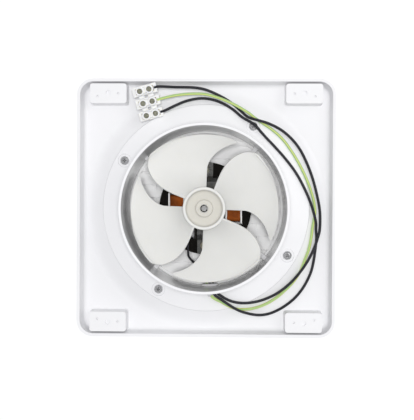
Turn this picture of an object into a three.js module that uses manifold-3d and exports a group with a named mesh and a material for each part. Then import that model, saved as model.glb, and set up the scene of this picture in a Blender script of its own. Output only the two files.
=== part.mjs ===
// A wall and window exhaust fan, lying on its front face with its duct side up.
// Millimetres, +Z from the front face towards the duct, origin under the middle of the front face.
// A square plastic tray carries a round duct spigot on four screws. Four arms in the spigot hold a
// shaded-pole motor, whose shaft turns a four-bladed impeller near the spigot's rear rim. Three leads
// leave the spigot through a gland and run round its flange to a loose terminal block.
import * as THREE from "three";
import { mergeVertices } from "three/addons/utils/BufferGeometryUtils.js";
import Module from "manifold-3d";

const wasm = await Module();
wasm.setup();

const DEG = Math.PI / 180;

// ---------------------------------------------------------------- driving dimensions
const GAP = 0.3; // between faces that meet

// Fascia tray
const TRAY_SIZE = 240; // across the rear rim
const TRAY_DRAFT = 3; // each side, from the rim to the front edge
const TRAY_DEPTH = 24;
const TRAY_CORNER = 15;
const TRAY_WALL = 2.8;
const FLOOR_TOP = 8;
const FLOOR_THICK = 2.8;
const FLOOR_FILLET = 4;
const DOME_RISE = 8; // how far the round seat of the spigot stands over the floor
const RECESS_WALL = 4.1; // wall left round the front recess
const RECESS_CORNER = 10;

// Mounting pads in the tray's corners, as distances from the tray's rim line
const PAD_X = [12, 46]; // near side and far side, along X
const PAD_Y = [4.7, 23];
const PAD_WALL = 2.6;
const PAD_HOLE = { x: 29, y: 13.7, radius: 2.45 };
const PAD_PILOTS = [
  { x: 38.2, y: 14.2, radius: 1.15 },
  { x: 19.3, y: 16.7, radius: 1.15 },
];

// Front grille
const GRILLE_CLEARANCE = 0.7; // all round, in the recess
const GRILLE_THICK = 3.2;
const GRILLE_RIM_WIDTH = 2;
const LOUVRE_COVER = 2.2; // how far the louvre's ring stands inside the spigot's bore
const LOUVRE_RING = 2.5;
const LOUVRE_TOP = 7.4;
const LOUVRE_PITCH = 12.2;
const LOUVRE_START = 9; // Y of one of the gaps between slats
const LOUVRE_SLIT = 1.1;
const LOUVRE_THICK = 1.7;
const LOUVRE_RIBS = [-48.6, 48.6];
const LOUVRE_RIB_THICK = 1.8;

// Duct spigot
const SPIGOT_RADIUS = 74.75; // outside: a 150 mm duct slips over it
const SPIGOT_WALL = 2.55;
const SPIGOT_FRONT = 11;
const SPIGOT_REAR = 82;
const SPIGOT_HOLE_CLEARANCE = 1.75;
const FLANGE_WIDTH = 21.75;
const FLANGE_EDGE = 2.7;
const FLANGE_ROOT = 5.2;
const FLANGE_SCREW_OFFSET = 12.75; // from the spigot's outside
const FLANGE_SCREW_ANGLES = [150, 60, -30, -120];
const FLANGE_BOSS_RADIUS = 6.6;
const FLANGE_BOSS_HEIGHT = 5.1;
const TRAY_BOSS_RADIUS = 4;
const TRAY_BOSS_FRONT = 6.5;
const FLANGE_SHANK_RADIUS = 1.5;
const FLANGE_SHANK_FRONT = 8;
const FLANGE_HEAD_RADIUS = 4.15;
const FLANGE_HEAD_HEIGHT = 2.4;

// Motor
const ARM_ANGLES = [140, 50, -40, -130];
const ARM_THICK = 4;
const ARM_BOSS_RADIUS = 5;
const ARM_FRONT = 11;
const STATOR_FRONT = 21;
const STATOR_THICK = 18;
const STATOR_RADIUS = 42;
const STATOR_INNER = 30;
const STATOR_EAR = 4.6;
const MOTOR_SCREW_CIRCLE = 38.5;
const MOTOR_SCREW_RADIUS = 1.7;
const MOTOR_SCREW_HEAD = 4;
const ROTOR_RADIUS = 13.5;
const AIR_GAP = 0.7;
const SHOE_THICK = 3.9;
const SHOE_HALF_ANGLE = 38;
const SHADE_ANGLE = 29; // from the middle of its pole
const SHADE_THICK = 1.5;
const SHADE_SIDES = [-3.05, 3.45]; // inner faces of the shading ring, across the pole
const SHADE_INSET = 1.6; // from the shoe's outside to the ring's
const NECK_WIDTH = 14; // the two wound poles
const POLE_WIDTH = 20; // the two plain poles
const BOLT_CIRCLE = 34;
const BOLT_RADIUS = 1.9;
const BRIDGE_WIDTH = 14;
const BRIDGE_SHOULDER = 28; // width of the slope on the +Y side
const BRIDGE_THICK = 2;
const BRIDGE_REACH = 41.3;
const BRIDGE_RISE = 6.7;
const HOUSING_RADIUS = 9;
const HOUSING_LENGTH = 6;
const BEARING_RADIUS = 6;
const BEARING_LENGTH = 4.6;
const SHAFT_RADIUS = 2.5;
const SHAFT_FRONT = 9;
const SHAFT_REAR = 75;

// Bobbins and windings, on the two poles that lie along X
const BOBBIN_LENGTH = 15;
const BOBBIN_FLANGE = 1.3;
const BOBBIN_WALL = 1;
const BOBBIN_SIDE = 7; // from the neck's side to the bobbin's edge
const BOBBIN_RISE = 5.5; // from the stack's face to the bobbin's edge
const COIL_INSET = 1.9; // the winding's outside under the bobbin's edge
const COIL_LOOPS = 8;
const COIL_STEPS = 10;
const COIL_SIDES = 5;
const COIL_WIRE = 0.38; // radius of one loop of the outer layer

// Impeller
const BLADES = 4;
const TIP_CLEARANCE = 6.2;
const HUB_RADIUS = 18.8;
const HUB_WALL = 2.6;
const HUB_FRONT = 52.5;
const HUB_REAR = 75.5;
const HUB_WEB = 68;
const HUB_BOSS = 7.5;
const BLADE_FRONT = 53.6;
const BLADE_REAR = 74.6;
const BLADE_THICK = 2;
const CLIP_RADIUS = 3.9;
const TAG_THICK = 0.8;

// Cable gland and the leads inside the spigot
const GLAND_ANGLE = -86.5;
const GLAND_HEIGHT = 27.5;
const GLAND_NECK = { halfWidth: 5.7, halfHeight: 2.3 };
const GLAND_INNER = { halfWidth: 7.4, halfHeight: 3.3, thick: 2 };
const NOSE_ANGLE = -50.3; // the leads leave leaning this way
const NOSE_STAND = 5.2; // its face, out from where the slot meets the spigot's outside
const NOSE_SHIFT = -0.2; // its middle, sideways from there
const NOSE_DEPTH = 9;
const NOSE_HALF_WIDTH = 5.4;
const NOSE_HALF_HEIGHT = 2.7;
const LEAD_PITCH = 3;
const LEAD_RADIUS = 1.3;
const INNER_LEAD_RADIUS = 1;

// Terminal block, in its own frame: X across the row, Y along it, Z up
const BLOCK_PLACE = [-54, 98.2, 22.05];
const BLOCK_TURN = [7.5, 0, 15.1]; // degrees about X, Y and Z
const BLOCK_PITCH = 11.5;
const BLOCK_WIDTH = 23;
const BLOCK_BASE = 9.5;
const BLOCK_HEIGHT = 15;
const CHIMNEY_RADIUS = 4;
const CHIMNEY_BORE = 2.8;
const CHIMNEY_OFFSET = 4.35;
const PORT_HEIGHT = 5.5;
const PORT_BORE = 3.1;
const BRASS_RADIUS = 2.8;
const BRASS_BORE = 1.9;
const BRASS_HALF = 8.5;
const CLAMP_SHANK = 1.2;
const CLAMP_HEAD = 2.3;
const BLOCK_FIXING = 1.6;

// Facets
const ROUND = 36; // sides of the large round pieces
const SMALL = 10; // sides of screws and bosses

// What follows from them
const SPIGOT_INNER = SPIGOT_RADIUS - SPIGOT_WALL;
const SEAT = FLOOR_TOP + DOME_RISE;
const LOUVRE_RADIUS = SPIGOT_INNER - LOUVRE_COVER;
const FLANGE_SEAT = SEAT + GAP;
const FLANGE_RADIUS = SPIGOT_RADIUS + FLANGE_WIDTH;
const FLANGE_SCREW_CIRCLE = SPIGOT_RADIUS + FLANGE_SCREW_OFFSET;
const FLANGE_BOSS_TOP = FLANGE_SEAT + FLANGE_BOSS_HEIGHT;
const STATOR_REAR = STATOR_FRONT + STATOR_THICK;
const STATOR_MIDDLE = (STATOR_FRONT + STATOR_REAR) / 2;
const BORE_RADIUS = ROTOR_RADIUS + AIR_GAP;
const SHOE_RADIUS = BORE_RADIUS + SHOE_THICK;
const SHADE_RADIUS = SHOE_RADIUS - SHADE_INSET - SHADE_THICK / 2;
const BOBBIN_START = SHOE_RADIUS + GAP;
const BOBBIN_HALF_WIDTH = NECK_WIDTH / 2 + BOBBIN_SIDE;
const BOBBIN_HALF_HEIGHT = STATOR_THICK / 2 + BOBBIN_RISE;
const TIP_RADIUS = SPIGOT_INNER - TIP_CLEARANCE;
const NOSE_FACE = SPIGOT_RADIUS * Math.cos((GLAND_ANGLE - NOSE_ANGLE) * DEG) + NOSE_STAND;
const NOSE_CENTRE = SPIGOT_RADIUS * Math.sin((GLAND_ANGLE - NOSE_ANGLE) * DEG) + NOSE_SHIFT;

// ---------------------------------------------------------------- shapes
// A closed three.js geometry as a solid, with its faces turned outwards.
function solid(geometry) {
  if (geometry instanceof wasm.Manifold) return geometry;
  const flat = geometry.index ? geometry.toNonIndexed() : geometry;
  const bare = new THREE.BufferGeometry();
  bare.setAttribute("position", flat.getAttribute("position"));
  const merged = mergeVertices(bare, 1e-4);
  const index = merged.index.array;
  const triangles = [];
  for (let i = 0; i < index.length; i += 3) {
    const [a, b, c] = [index[i], index[i + 1], index[i + 2]];
    if (a !== b && b !== c && a !== c) triangles.push(a, b, c);
  }
  const make = (corners) =>
    new wasm.Manifold(
      new wasm.Mesh({
        numProp: 3,
        vertProperties: merged.attributes.position.array,
        triVerts: new Uint32Array(corners),
      }),
    );
  const made = make(triangles);
  return made.volume() >= 0 ? made : make(triangles.reverse());
}

const join = (...pieces) => pieces.map(solid).reduce((a, b) => a.add(b));
const cut = (from, ...tools) => tools.map(solid).reduce((a, b) => a.subtract(b), solid(from));
const common = (a, b) => solid(a).intersect(solid(b));

function geometryOf(made) {
  const mesh = made.getMesh();
  const points = new Float32Array(mesh.numVert * 3);
  for (let i = 0; i < mesh.numVert; i++) {
    points.set(mesh.vertProperties.subarray(i * mesh.numProp, i * mesh.numProp + 3), i * 3);
  }
  const geometry = new THREE.BufferGeometry();
  geometry.setAttribute("position", new THREE.BufferAttribute(points, 3));
  geometry.setIndex(new THREE.BufferAttribute(mesh.triVerts, 1));
  geometry.computeVertexNormals();
  return geometry;
}

function box(x0, x1, y0, y1, z0, z1) {
  const made = new THREE.BoxGeometry(x1 - x0, y1 - y0, z1 - z0);
  return made.translate((x0 + x1) / 2, (y0 + y1) / 2, (z0 + z1) / 2);
}

function cylinder(radius, z0, z1, x = 0, y = 0, sides = SMALL, farRadius = radius) {
  const made = new THREE.CylinderGeometry(farRadius, radius, z1 - z0, sides);
  return made.rotateX(90 * DEG).translate(x, y, (z0 + z1) / 2);
}

// A profile of [radius, height] points turned round Z; it closes on itself unless it ends on the axis.
function lathe(points, sides = ROUND) {
  const profile = points.map(([r, z]) => new THREE.Vector2(r, z));
  const onAxis = points[0][0] === 0 && points[points.length - 1][0] === 0;
  if (!onAxis) profile.push(profile[0].clone());
  return new THREE.LatheGeometry(profile, sides).rotateX(90 * DEG);
}

// An outline in X and Y, raised from z0 to z1.
function prism(points, z0, z1) {
  const shape = new THREE.Shape(points.map(([x, y]) => new THREE.Vector2(x, y)));
  const made = new THREE.ExtrudeGeometry(shape, { depth: z1 - z0, bevelEnabled: false });
  return made.translate(0, 0, z0);
}

// An outline in the upright plane through X and Z, between two Y values.
function upright(points, y0, y1) {
  return prism(points, -y1, -y0).rotateX(90 * DEG);
}

// A closed skin over rings of equally many points.
function skin(rings) {
  const count = rings[0].length;
  const corners = [];
  const face = (a, b, c) => corners.push(...a.toArray(), ...b.toArray(), ...c.toArray());
  const close = (ring, turned) => {
    let first = 0;
    let last = count - 1;
    const flat = (a, b, c) => (turned ? face(ring[c], ring[b], ring[a]) : face(ring[a], ring[b], ring[c]));
    while (last - first > 1) {
      flat(first, first + 1, last);
      first += 1;
      if (last - first > 1) flat(first, last - 1, last);
      last -= 1;
    }
  };
  for (let i = 0; i + 1 < rings.length; i++) {
    for (let j = 0; j < count; j++) {
      const k = (j + 1) % count;
      face(rings[i][j], rings[i][k], rings[i + 1][k]);
      face(rings[i][j], rings[i + 1][k], rings[i + 1][j]);
    }
  }
  close(rings[0], true);
  close(rings[rings.length - 1], false);
  const geometry = new THREE.BufferGeometry();
  geometry.setAttribute("position", new THREE.Float32BufferAttribute(corners, 3));
  return geometry;
}

// A rounded square of [size, corner radius, height] at each level.
function roundedSquares(levels, steps = 3) {
  return skin(
    levels.map(([size, corner, z]) => {
      const middle = size / 2 - corner;
      const ring = [];
      for (let quarter = 0; quarter < 4; quarter++) {
        for (let i = 0; i <= steps; i++) {
          const angle = (quarter + i / steps) * 90 * DEG;
          const x = Math.cos(angle) * corner + middle * (quarter === 0 || quarter === 3 ? 1 : -1);
          const y = Math.sin(angle) * corner + middle * (quarter < 2 ? 1 : -1);
          ring.push(new THREE.Vector3(x, y, z));
        }
      }
      return ring;
    }),
  );
}

// A round wire through points, with square ends.
function wire(points, radius, steps, sides = 8) {
  const curve = new THREE.CatmullRomCurve3(points.map((p) => new THREE.Vector3(...p)), false, "centripetal");
  const shape = new THREE.Shape();
  for (let i = 0; i < sides; i++) {
    const angle = ((i + 0.5) / sides) * 360 * DEG;
    const point = [Math.cos(angle) * radius, Math.sin(angle) * radius];
    if (i === 0) shape.moveTo(...point);
    else shape.lineTo(...point);
  }
  return new THREE.ExtrudeGeometry(shape, { steps, bevelEnabled: false, extrudePath: curve });
}

const polar = (radius, angle) => [radius * Math.cos(angle * DEG), radius * Math.sin(angle * DEG)];
const around = (angles, make) => angles.map((angle, i) => make(angle, i + 1));

function piece(name, shape, material) {
  const mesh = new THREE.Mesh(geometryOf(solid(shape)), material);
  mesh.name = name;
  return mesh;
}

function plastic(colour, roughness) {
  return new THREE.MeshStandardMaterial({ color: colour, roughness, metalness: 0 });
}

function metal(colour, roughness) {
  return new THREE.MeshStandardMaterial({ color: colour, roughness, metalness: 1 });
}

// ---------------------------------------------------------------- housing
function fasciaTray() {
  const rim = TRAY_SIZE;
  const front = TRAY_SIZE - 2 * TRAY_DRAFT;
  const at = (z) => front + ((rim - front) * z) / TRAY_DEPTH;
  const outside = roundedSquares([
    [front - 2.2, TRAY_CORNER - 4, 0],
    [at(1.2), TRAY_CORNER - 3, 1.2],
    [rim, TRAY_CORNER, TRAY_DEPTH],
  ]);
  const within = (z) => at(z) - 2 * TRAY_WALL;
  const inCorner = TRAY_CORNER - TRAY_WALL;
  const pocket = roundedSquares([
    [within(FLOOR_TOP) - 2 * FLOOR_FILLET, inCorner - FLOOR_FILLET, FLOOR_TOP],
    [within(FLOOR_TOP) - FLOOR_FILLET * 0.6, inCorner - FLOOR_FILLET * 0.3, FLOOR_TOP + FLOOR_FILLET * 0.3],
    [within(FLOOR_TOP + FLOOR_FILLET), inCorner, FLOOR_TOP + FLOOR_FILLET],
    [within(TRAY_DEPTH + 1), inCorner, TRAY_DEPTH + 1],
  ]);
  const recessSize = at(FLOOR_TOP - FLOOR_THICK) - 2 * RECESS_WALL;
  const recess = roundedSquares([
    [recessSize, RECESS_CORNER, -1],
    [recessSize, RECESS_CORNER, FLOOR_TOP - FLOOR_THICK],
  ]);
  const domeFoot = FLANGE_RADIUS + 17.5;
  const hole = SPIGOT_RADIUS + SPIGOT_HOLE_CLEARANCE;
  const rise = (share) => FLOOR_TOP + DOME_RISE * share;
  const under = rise(1) - FLOOR_THICK;
  const dome = lathe([
    [hole, rise(1)],
    [FLANGE_RADIUS - 6.5, rise(1)],
    [FLANGE_RADIUS + 1, rise(0.9)],
    [FLANGE_RADIUS + 3.5, rise(0.7)],
    [FLANGE_RADIUS + 11.5, rise(0.2)],
    [domeFoot, FLOOR_TOP],
    [domeFoot, FLOOR_TOP - FLOOR_THICK],
    [domeFoot - 2, FLOOR_TOP - FLOOR_THICK],
    [domeFoot - 7.5, rise(0.2) - FLOOR_THICK],
    [FLANGE_RADIUS + 0.5, rise(0.9) - FLOOR_THICK],
    [FLANGE_RADIUS - 6.5, under],
    [hole, under],
  ]);
  let tray = cut(outside, pocket, recess, cylinder(domeFoot - 1, -1, FLOOR_TOP + 1, 0, 0, ROUND));
  tray = join(tray, dome);
  for (const angle of FLANGE_SCREW_ANGLES) {
    const [x, y] = polar(FLANGE_SCREW_CIRCLE, angle);
    tray = join(tray, cylinder(TRAY_BOSS_RADIUS, TRAY_BOSS_FRONT, under + 1, x, y));
  }
  for (const angle of FLANGE_SCREW_ANGLES) {
    const [x, y] = polar(FLANGE_SCREW_CIRCLE, angle);
    tray = cut(tray, cylinder(FLANGE_SHANK_RADIUS + GAP, 0, TRAY_DEPTH, x, y));
  }
  const half = TRAY_SIZE / 2;
  for (const sx of [-1, 1]) {
    for (const sy of [-1, 1]) {
      const span = (near, far, sign) => [sign * (half - far), sign * (half - near)].sort((a, b) => a - b);
      const [x0, x1] = span(...PAD_X, sx);
      const [y0, y1] = span(...PAD_Y, sy);
      tray = join(tray, box(x0, x1, y0, y1, FLOOR_TOP - 1, TRAY_DEPTH));
      const hollow = box(
        x0 + PAD_WALL,
        x1 - PAD_WALL,
        y0 + PAD_WALL,
        y1 - PAD_WALL,
        -1,
        TRAY_DEPTH - PAD_WALL,
      );
      tray = cut(tray, hollow);
      for (const { x, y, radius } of [PAD_HOLE, ...PAD_PILOTS]) {
        tray = cut(tray, cylinder(radius, 0, TRAY_DEPTH + 1, sx * (half - x), sy * (half - y)));
      }
    }
  }
  return tray;
}

function frontGrille() {
  const front = TRAY_SIZE - 2 * TRAY_DRAFT;
  const slope = (2 * TRAY_DRAFT) / TRAY_DEPTH;
  const recessSize = front + slope * (FLOOR_TOP - FLOOR_THICK) - 2 * RECESS_WALL;
  const size = recessSize - 2 * GRILLE_CLEARANCE;
  const corner = RECESS_CORNER - GRILLE_CLEARANCE;
  const rimTop = FLOOR_TOP - FLOOR_THICK - GAP;
  const panel = roundedSquares([
    [size - 2, corner - 1, 0],
    [size, corner, 1],
    [size, corner, rimTop],
  ]);
  const inside = roundedSquares([
    [size - 2 * GRILLE_RIM_WIDTH, corner - GRILLE_RIM_WIDTH, GRILLE_THICK],
    [size - 2 * GRILLE_RIM_WIDTH, corner - GRILLE_RIM_WIDTH, rimTop + 1],
  ]);
  let grille = cut(panel, inside, cylinder(LOUVRE_RADIUS, -1, 10, 0, 0, ROUND));
  const ring = lathe([
    [LOUVRE_RADIUS, 0.4],
    [LOUVRE_RADIUS + LOUVRE_RING, 0.4],
    [LOUVRE_RADIUS + LOUVRE_RING, LOUVRE_TOP],
    [LOUVRE_RADIUS, LOUVRE_TOP],
  ]);
  grille = join(grille, ring);
  const limit = cylinder(LOUVRE_RADIUS + LOUVRE_RING / 2, 0, LOUVRE_TOP, 0, 0, ROUND - 8);
  const low = 0.4;
  const high = LOUVRE_TOP - 0.2;
  const count = Math.ceil(LOUVRE_RADIUS / LOUVRE_PITCH) + 1;
  const start = LOUVRE_START - Math.round(LOUVRE_START / LOUVRE_PITCH) * LOUVRE_PITCH;
  for (let k = -count; k <= count; k++) {
    const y0 = start + k * LOUVRE_PITCH + LOUVRE_SLIT / 2;
    const y1 = y0 + LOUVRE_PITCH - LOUVRE_SLIT;
    if (y1 < 3 - LOUVRE_RADIUS || y0 > LOUVRE_RADIUS - 3) continue;
    const half = LOUVRE_RADIUS + LOUVRE_RING;
    const slat = prism(
      [
        [-y0, high],
        [-y0, high - LOUVRE_THICK],
        [-y1, low],
        [-y1, low + LOUVRE_THICK],
      ],
      -half,
      half,
    );
    // The outline's own X is turned to run down Y, and its height to run up Z.
    slat.rotateX(90 * DEG).rotateZ(-90 * DEG);
    grille = join(grille, common(slat, limit));
  }
  for (const x of LOUVRE_RIBS) {
    const w = LOUVRE_RIB_THICK / 2;
    const rib = box(x - w, x + w, -LOUVRE_RADIUS - 1, LOUVRE_RADIUS + 1, low, GRILLE_THICK + 1.2);
    grille = join(grille, common(rib, limit));
  }
  return grille;
}

function ductSpigot() {
  const rootTop = FLANGE_SEAT + FLANGE_ROOT;
  const wall = lathe([
    [SPIGOT_INNER, SPIGOT_FRONT],
    [SPIGOT_RADIUS, SPIGOT_FRONT],
    [SPIGOT_RADIUS, FLANGE_SEAT],
    [FLANGE_RADIUS, FLANGE_SEAT],
    [FLANGE_RADIUS, FLANGE_SEAT + FLANGE_EDGE - 0.6],
    [FLANGE_RADIUS - 0.6, FLANGE_SEAT + FLANGE_EDGE],
    [SPIGOT_RADIUS + 3.2, rootTop],
    [SPIGOT_RADIUS + 1, rootTop + 0.7],
    [SPIGOT_RADIUS, rootTop + 2],
    [SPIGOT_RADIUS, SPIGOT_REAR - 0.8],
    [SPIGOT_RADIUS - 0.8, SPIGOT_REAR],
    [SPIGOT_INNER + 0.5, SPIGOT_REAR],
    [SPIGOT_INNER, SPIGOT_REAR - 0.5],
  ]);
  let spigot = solid(wall);
  const bossTop = STATOR_FRONT - GAP;
  const reach = SPIGOT_INNER + 1;
  const inner = MOTOR_SCREW_CIRCLE - ARM_BOSS_RADIUS;
  for (const angle of ARM_ANGLES) {
    const arm = upright(
      [
        [inner + 1, ARM_FRONT],
        [reach, ARM_FRONT],
        [reach, bossTop + 7],
        [reach - 7, bossTop + 3],
        [MOTOR_SCREW_CIRCLE + ARM_BOSS_RADIUS, bossTop],
        [inner + 1, bossTop],
      ],
      -ARM_THICK / 2,
      ARM_THICK / 2,
    ).rotateZ(angle * DEG);
    const [x, y] = polar(MOTOR_SCREW_CIRCLE, angle);
    spigot = join(spigot, arm, cylinder(ARM_BOSS_RADIUS, ARM_FRONT, bossTop, x, y));
    spigot = cut(spigot, cylinder(MOTOR_SCREW_RADIUS + GAP, ARM_FRONT + 1.2, bossTop + 1, x, y));
  }
  for (const angle of FLANGE_SCREW_ANGLES) {
    const [x, y] = polar(FLANGE_SCREW_CIRCLE, angle);
    const boss = cylinder(
      FLANGE_BOSS_RADIUS,
      FLANGE_SEAT + 1,
      FLANGE_BOSS_TOP,
      x,
      y,
      16,
      FLANGE_BOSS_RADIUS - 0.5,
    );
    spigot = join(spigot, boss);
    spigot = cut(spigot, cylinder(FLANGE_SHANK_RADIUS + GAP, FLANGE_SEAT - 1, FLANGE_BOSS_TOP + 1, x, y));
  }
  const slot = box(
    SPIGOT_INNER - 2,
    SPIGOT_RADIUS + 2,
    -GLAND_NECK.halfWidth - GAP,
    GLAND_NECK.halfWidth + GAP,
    GLAND_HEIGHT - GLAND_NECK.halfHeight - GAP,
    GLAND_HEIGHT + GLAND_NECK.halfHeight + GAP,
  ).rotateZ(GLAND_ANGLE * DEG);
  return cut(spigot, slot);
}

// A pan-head screw at the origin, its head's underside at z 0.
function screw(shank, length, head, height) {
  const body = lathe(
    [
      [0, -length],
      [shank * 0.6, -length],
      [shank, -length + shank],
      [shank, 0],
      [head, 0],
      [head, height * 0.45],
      [head * 0.72, height * 0.88],
      [0, height],
    ],
    SMALL,
  );
  const arm = head * 0.55;
  const blade = head * 0.11;
  const deep = height * 0.4;
  return cut(
    body,
    box(-arm, arm, -blade, blade, deep, height + 1),
    box(-blade, blade, -arm, arm, deep, height + 1),
  );
}

function moved(shape, x, y, z, turn = 0) {
  return geometryOf(solid(shape))
    .rotateZ(turn * DEG)
    .translate(x, y, z);
}

// ---------------------------------------------------------------- motor
// A shading ring for one pole; its near side lies in a slot of the shoe.
function shadingRing(poleAngle, clearance = 0) {
  const [near, far] = SHADE_SIDES;
  const [radius, thick] = [SHADE_RADIUS, SHADE_THICK];
  const c = clearance;
  const outer = box(
    radius - thick / 2 - c,
    radius + thick / 2 + c,
    near - thick - c,
    far + thick + c,
    STATOR_FRONT - GAP - thick - c,
    STATOR_REAR + GAP + thick + c,
  );
  const inner = box(
    radius - thick,
    radius + thick,
    near + c,
    far - c,
    STATOR_FRONT - GAP + c,
    STATOR_REAR + GAP - c,
  );
  const ring = cut(outer, inner);
  return moved(ring, 0, 0, 0, poleAngle + SHADE_ANGLE);
}

function statorCore() {
  const [z0, z1] = [STATOR_FRONT, STATOR_REAR];
  const sides = 36;
  const window = BOBBIN_START + BOBBIN_LENGTH + 0.5;
  const side = BOBBIN_HALF_WIDTH + 1;
  let core = solid(cylinder(STATOR_RADIUS, z0, z1, 0, 0, sides));
  for (const angle of ARM_ANGLES) {
    const [x, y] = polar(MOTOR_SCREW_CIRCLE, angle);
    core = join(core, cylinder(STATOR_EAR, z0, z1, x, y));
  }
  core = cut(
    core,
    cylinder(STATOR_INNER, z0 - 1, z1 + 1, 0, 0, sides),
    box(-window, window, -side, side, z0 - 1, z1 + 1),
  );
  const shoes = cut(
    cylinder(SHOE_RADIUS, z0, z1, 0, 0, 36),
    cylinder(BORE_RADIUS, z0 - 1, z1 + 1, 0, 0, 36),
  );
  let teeth = join(
    shoes,
    box(-window - 1, window + 1, -NECK_WIDTH / 2, NECK_WIDTH / 2, z0, z1),
    box(-POLE_WIDTH / 2, POLE_WIDTH / 2, -STATOR_INNER - 2, STATOR_INNER + 2, z0, z1),
  );
  teeth = cut(teeth, cylinder(BORE_RADIUS, z0 - 1, z1 + 1, 0, 0, 36));
  const opening = SHOE_RADIUS * Math.sin((45 - SHOE_HALF_ANGLE) * DEG);
  const reach = SHOE_RADIUS + 1.5;
  for (const pole of [0, 90, 180, 270]) {
    teeth = cut(
      teeth,
      box(0, reach, -opening, opening, z0 - 1, z1 + 1).rotateZ((pole + 45) * DEG),
      box(
        BORE_RADIUS - 1,
        SHADE_RADIUS + SHADE_THICK / 2 + GAP,
        SHADE_SIDES[0] - SHADE_THICK - GAP,
        SHADE_SIDES[0] + GAP,
        z0 - 1,
        z1 + 1,
      ).rotateZ((pole + SHADE_ANGLE) * DEG),
    );
  }
  core = join(core, teeth);
  for (const angle of ARM_ANGLES) {
    const [x, y] = polar(MOTOR_SCREW_CIRCLE, angle);
    core = cut(core, cylinder(MOTOR_SCREW_RADIUS + 0.5, z0 - 1, z1 + 1, x, y));
  }
  for (const y of [-BOLT_CIRCLE, BOLT_CIRCLE]) {
    core = cut(core, cylinder(BOLT_RADIUS + GAP, z0 - 1, z1 + 1, 0, y));
  }
  return core;
}

function bobbin() {
  const [x0, x1] = [BOBBIN_START, BOBBIN_START + BOBBIN_LENGTH];
  const [w, h] = [BOBBIN_HALF_WIDTH, BOBBIN_HALF_HEIGHT];
  const m = STATOR_MIDDLE;
  const holeW = NECK_WIDTH / 2 + GAP;
  const holeH = STATOR_THICK / 2 + GAP;
  const [tubeW, tubeH] = [holeW + BOBBIN_WALL, holeH + BOBBIN_WALL];
  return cut(
    join(
      box(x0, x0 + BOBBIN_FLANGE, -w, w, m - h, m + h),
      box(x1 - BOBBIN_FLANGE, x1, -w, w, m - h, m + h),
      box(x0, x1, -tubeW, tubeW, m - tubeH, m + tubeH),
    ),
    box(x0 - 1, x1 + 1, -holeW, holeW, m - holeH, m + holeH),
  );
}

// The winding's outline: a rounded rectangle round the pole, in Y and Z.
function coilPoint(turn, grow = 0) {
  const half = (size) => size - COIL_INSET + grow;
  const round = (value) => Math.sign(value) * Math.abs(value) ** 0.36;
  const angle = (turn + 0.5 / COIL_STEPS) * 360 * DEG;
  return [
    half(BOBBIN_HALF_WIDTH) * round(Math.cos(angle)),
    STATOR_MIDDLE + half(BOBBIN_HALF_HEIGHT) * round(Math.sin(angle)),
  ];
}

function coil() {
  const x0 = BOBBIN_START + BOBBIN_FLANGE + GAP;
  const x1 = BOBBIN_START + BOBBIN_LENGTH - BOBBIN_FLANGE - GAP;
  const outline = (x) =>
    Array.from({ length: COIL_STEPS }, (_, i) => {
      const [y, z] = coilPoint(i / COIL_STEPS);
      return new THREE.Vector3(x, y, z);
    });
  const holeW = NECK_WIDTH / 2 + 2 * GAP + BOBBIN_WALL;
  const holeH = STATOR_THICK / 2 + 2 * GAP + BOBBIN_WALL;
  const core = cut(
    skin([outline(x0), outline(x1)]),
    box(x0 - 1, x1 + 1, -holeW, holeW, STATOR_MIDDLE - holeH, STATOR_MIDDLE + holeH),
  );
  const span = x1 - x0 - 2 * COIL_WIRE;
  const steps = COIL_LOOPS * COIL_STEPS;
  const centre = [];
  for (let i = 0; i <= steps; i++) {
    const [y, z] = coilPoint(i / COIL_STEPS);
    centre.push(new THREE.Vector3(x0 + COIL_WIRE + (span * i) / steps, y, z));
  }
  // Each end runs straight for one wire diameter.
  for (const [end, next] of [
    [centre[0], centre[1]],
    [centre[steps], centre[steps - 1]],
  ]) {
    const tail = end.clone().sub(next).setX(0).setLength(2 * COIL_WIRE).add(end);
    if (end === centre[0]) centre.unshift(tail);
    else centre.push(tail);
  }
  const along = new THREE.Vector3(1, 0, 0);
  const rings = centre.map((point, i) => {
    const before = centre[Math.max(i - 1, 0)];
    const after = centre[Math.min(i + 1, centre.length - 1)];
    const outward = after.clone().sub(before).setX(0).normalize().cross(along);
    return Array.from({ length: COIL_SIDES }, (_, k) => {
      const angle = (k / COIL_SIDES) * 360 * DEG;
      return point
        .clone()
        .addScaledVector(along, Math.cos(angle) * COIL_WIRE)
        .addScaledVector(outward, Math.sin(angle) * COIL_WIRE);
    });
  });
  let least = Infinity;
  for (let i = 0; i < rings.length; i++) {
    for (let j = i + COIL_STEPS / 2; j < rings.length; j++) {
      for (const a of rings[i]) {
        for (const b of rings[j]) least = Math.min(least, a.distanceTo(b));
      }
    }
  }
  return { shape: join(core, skin(rings)), least };
}

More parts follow.
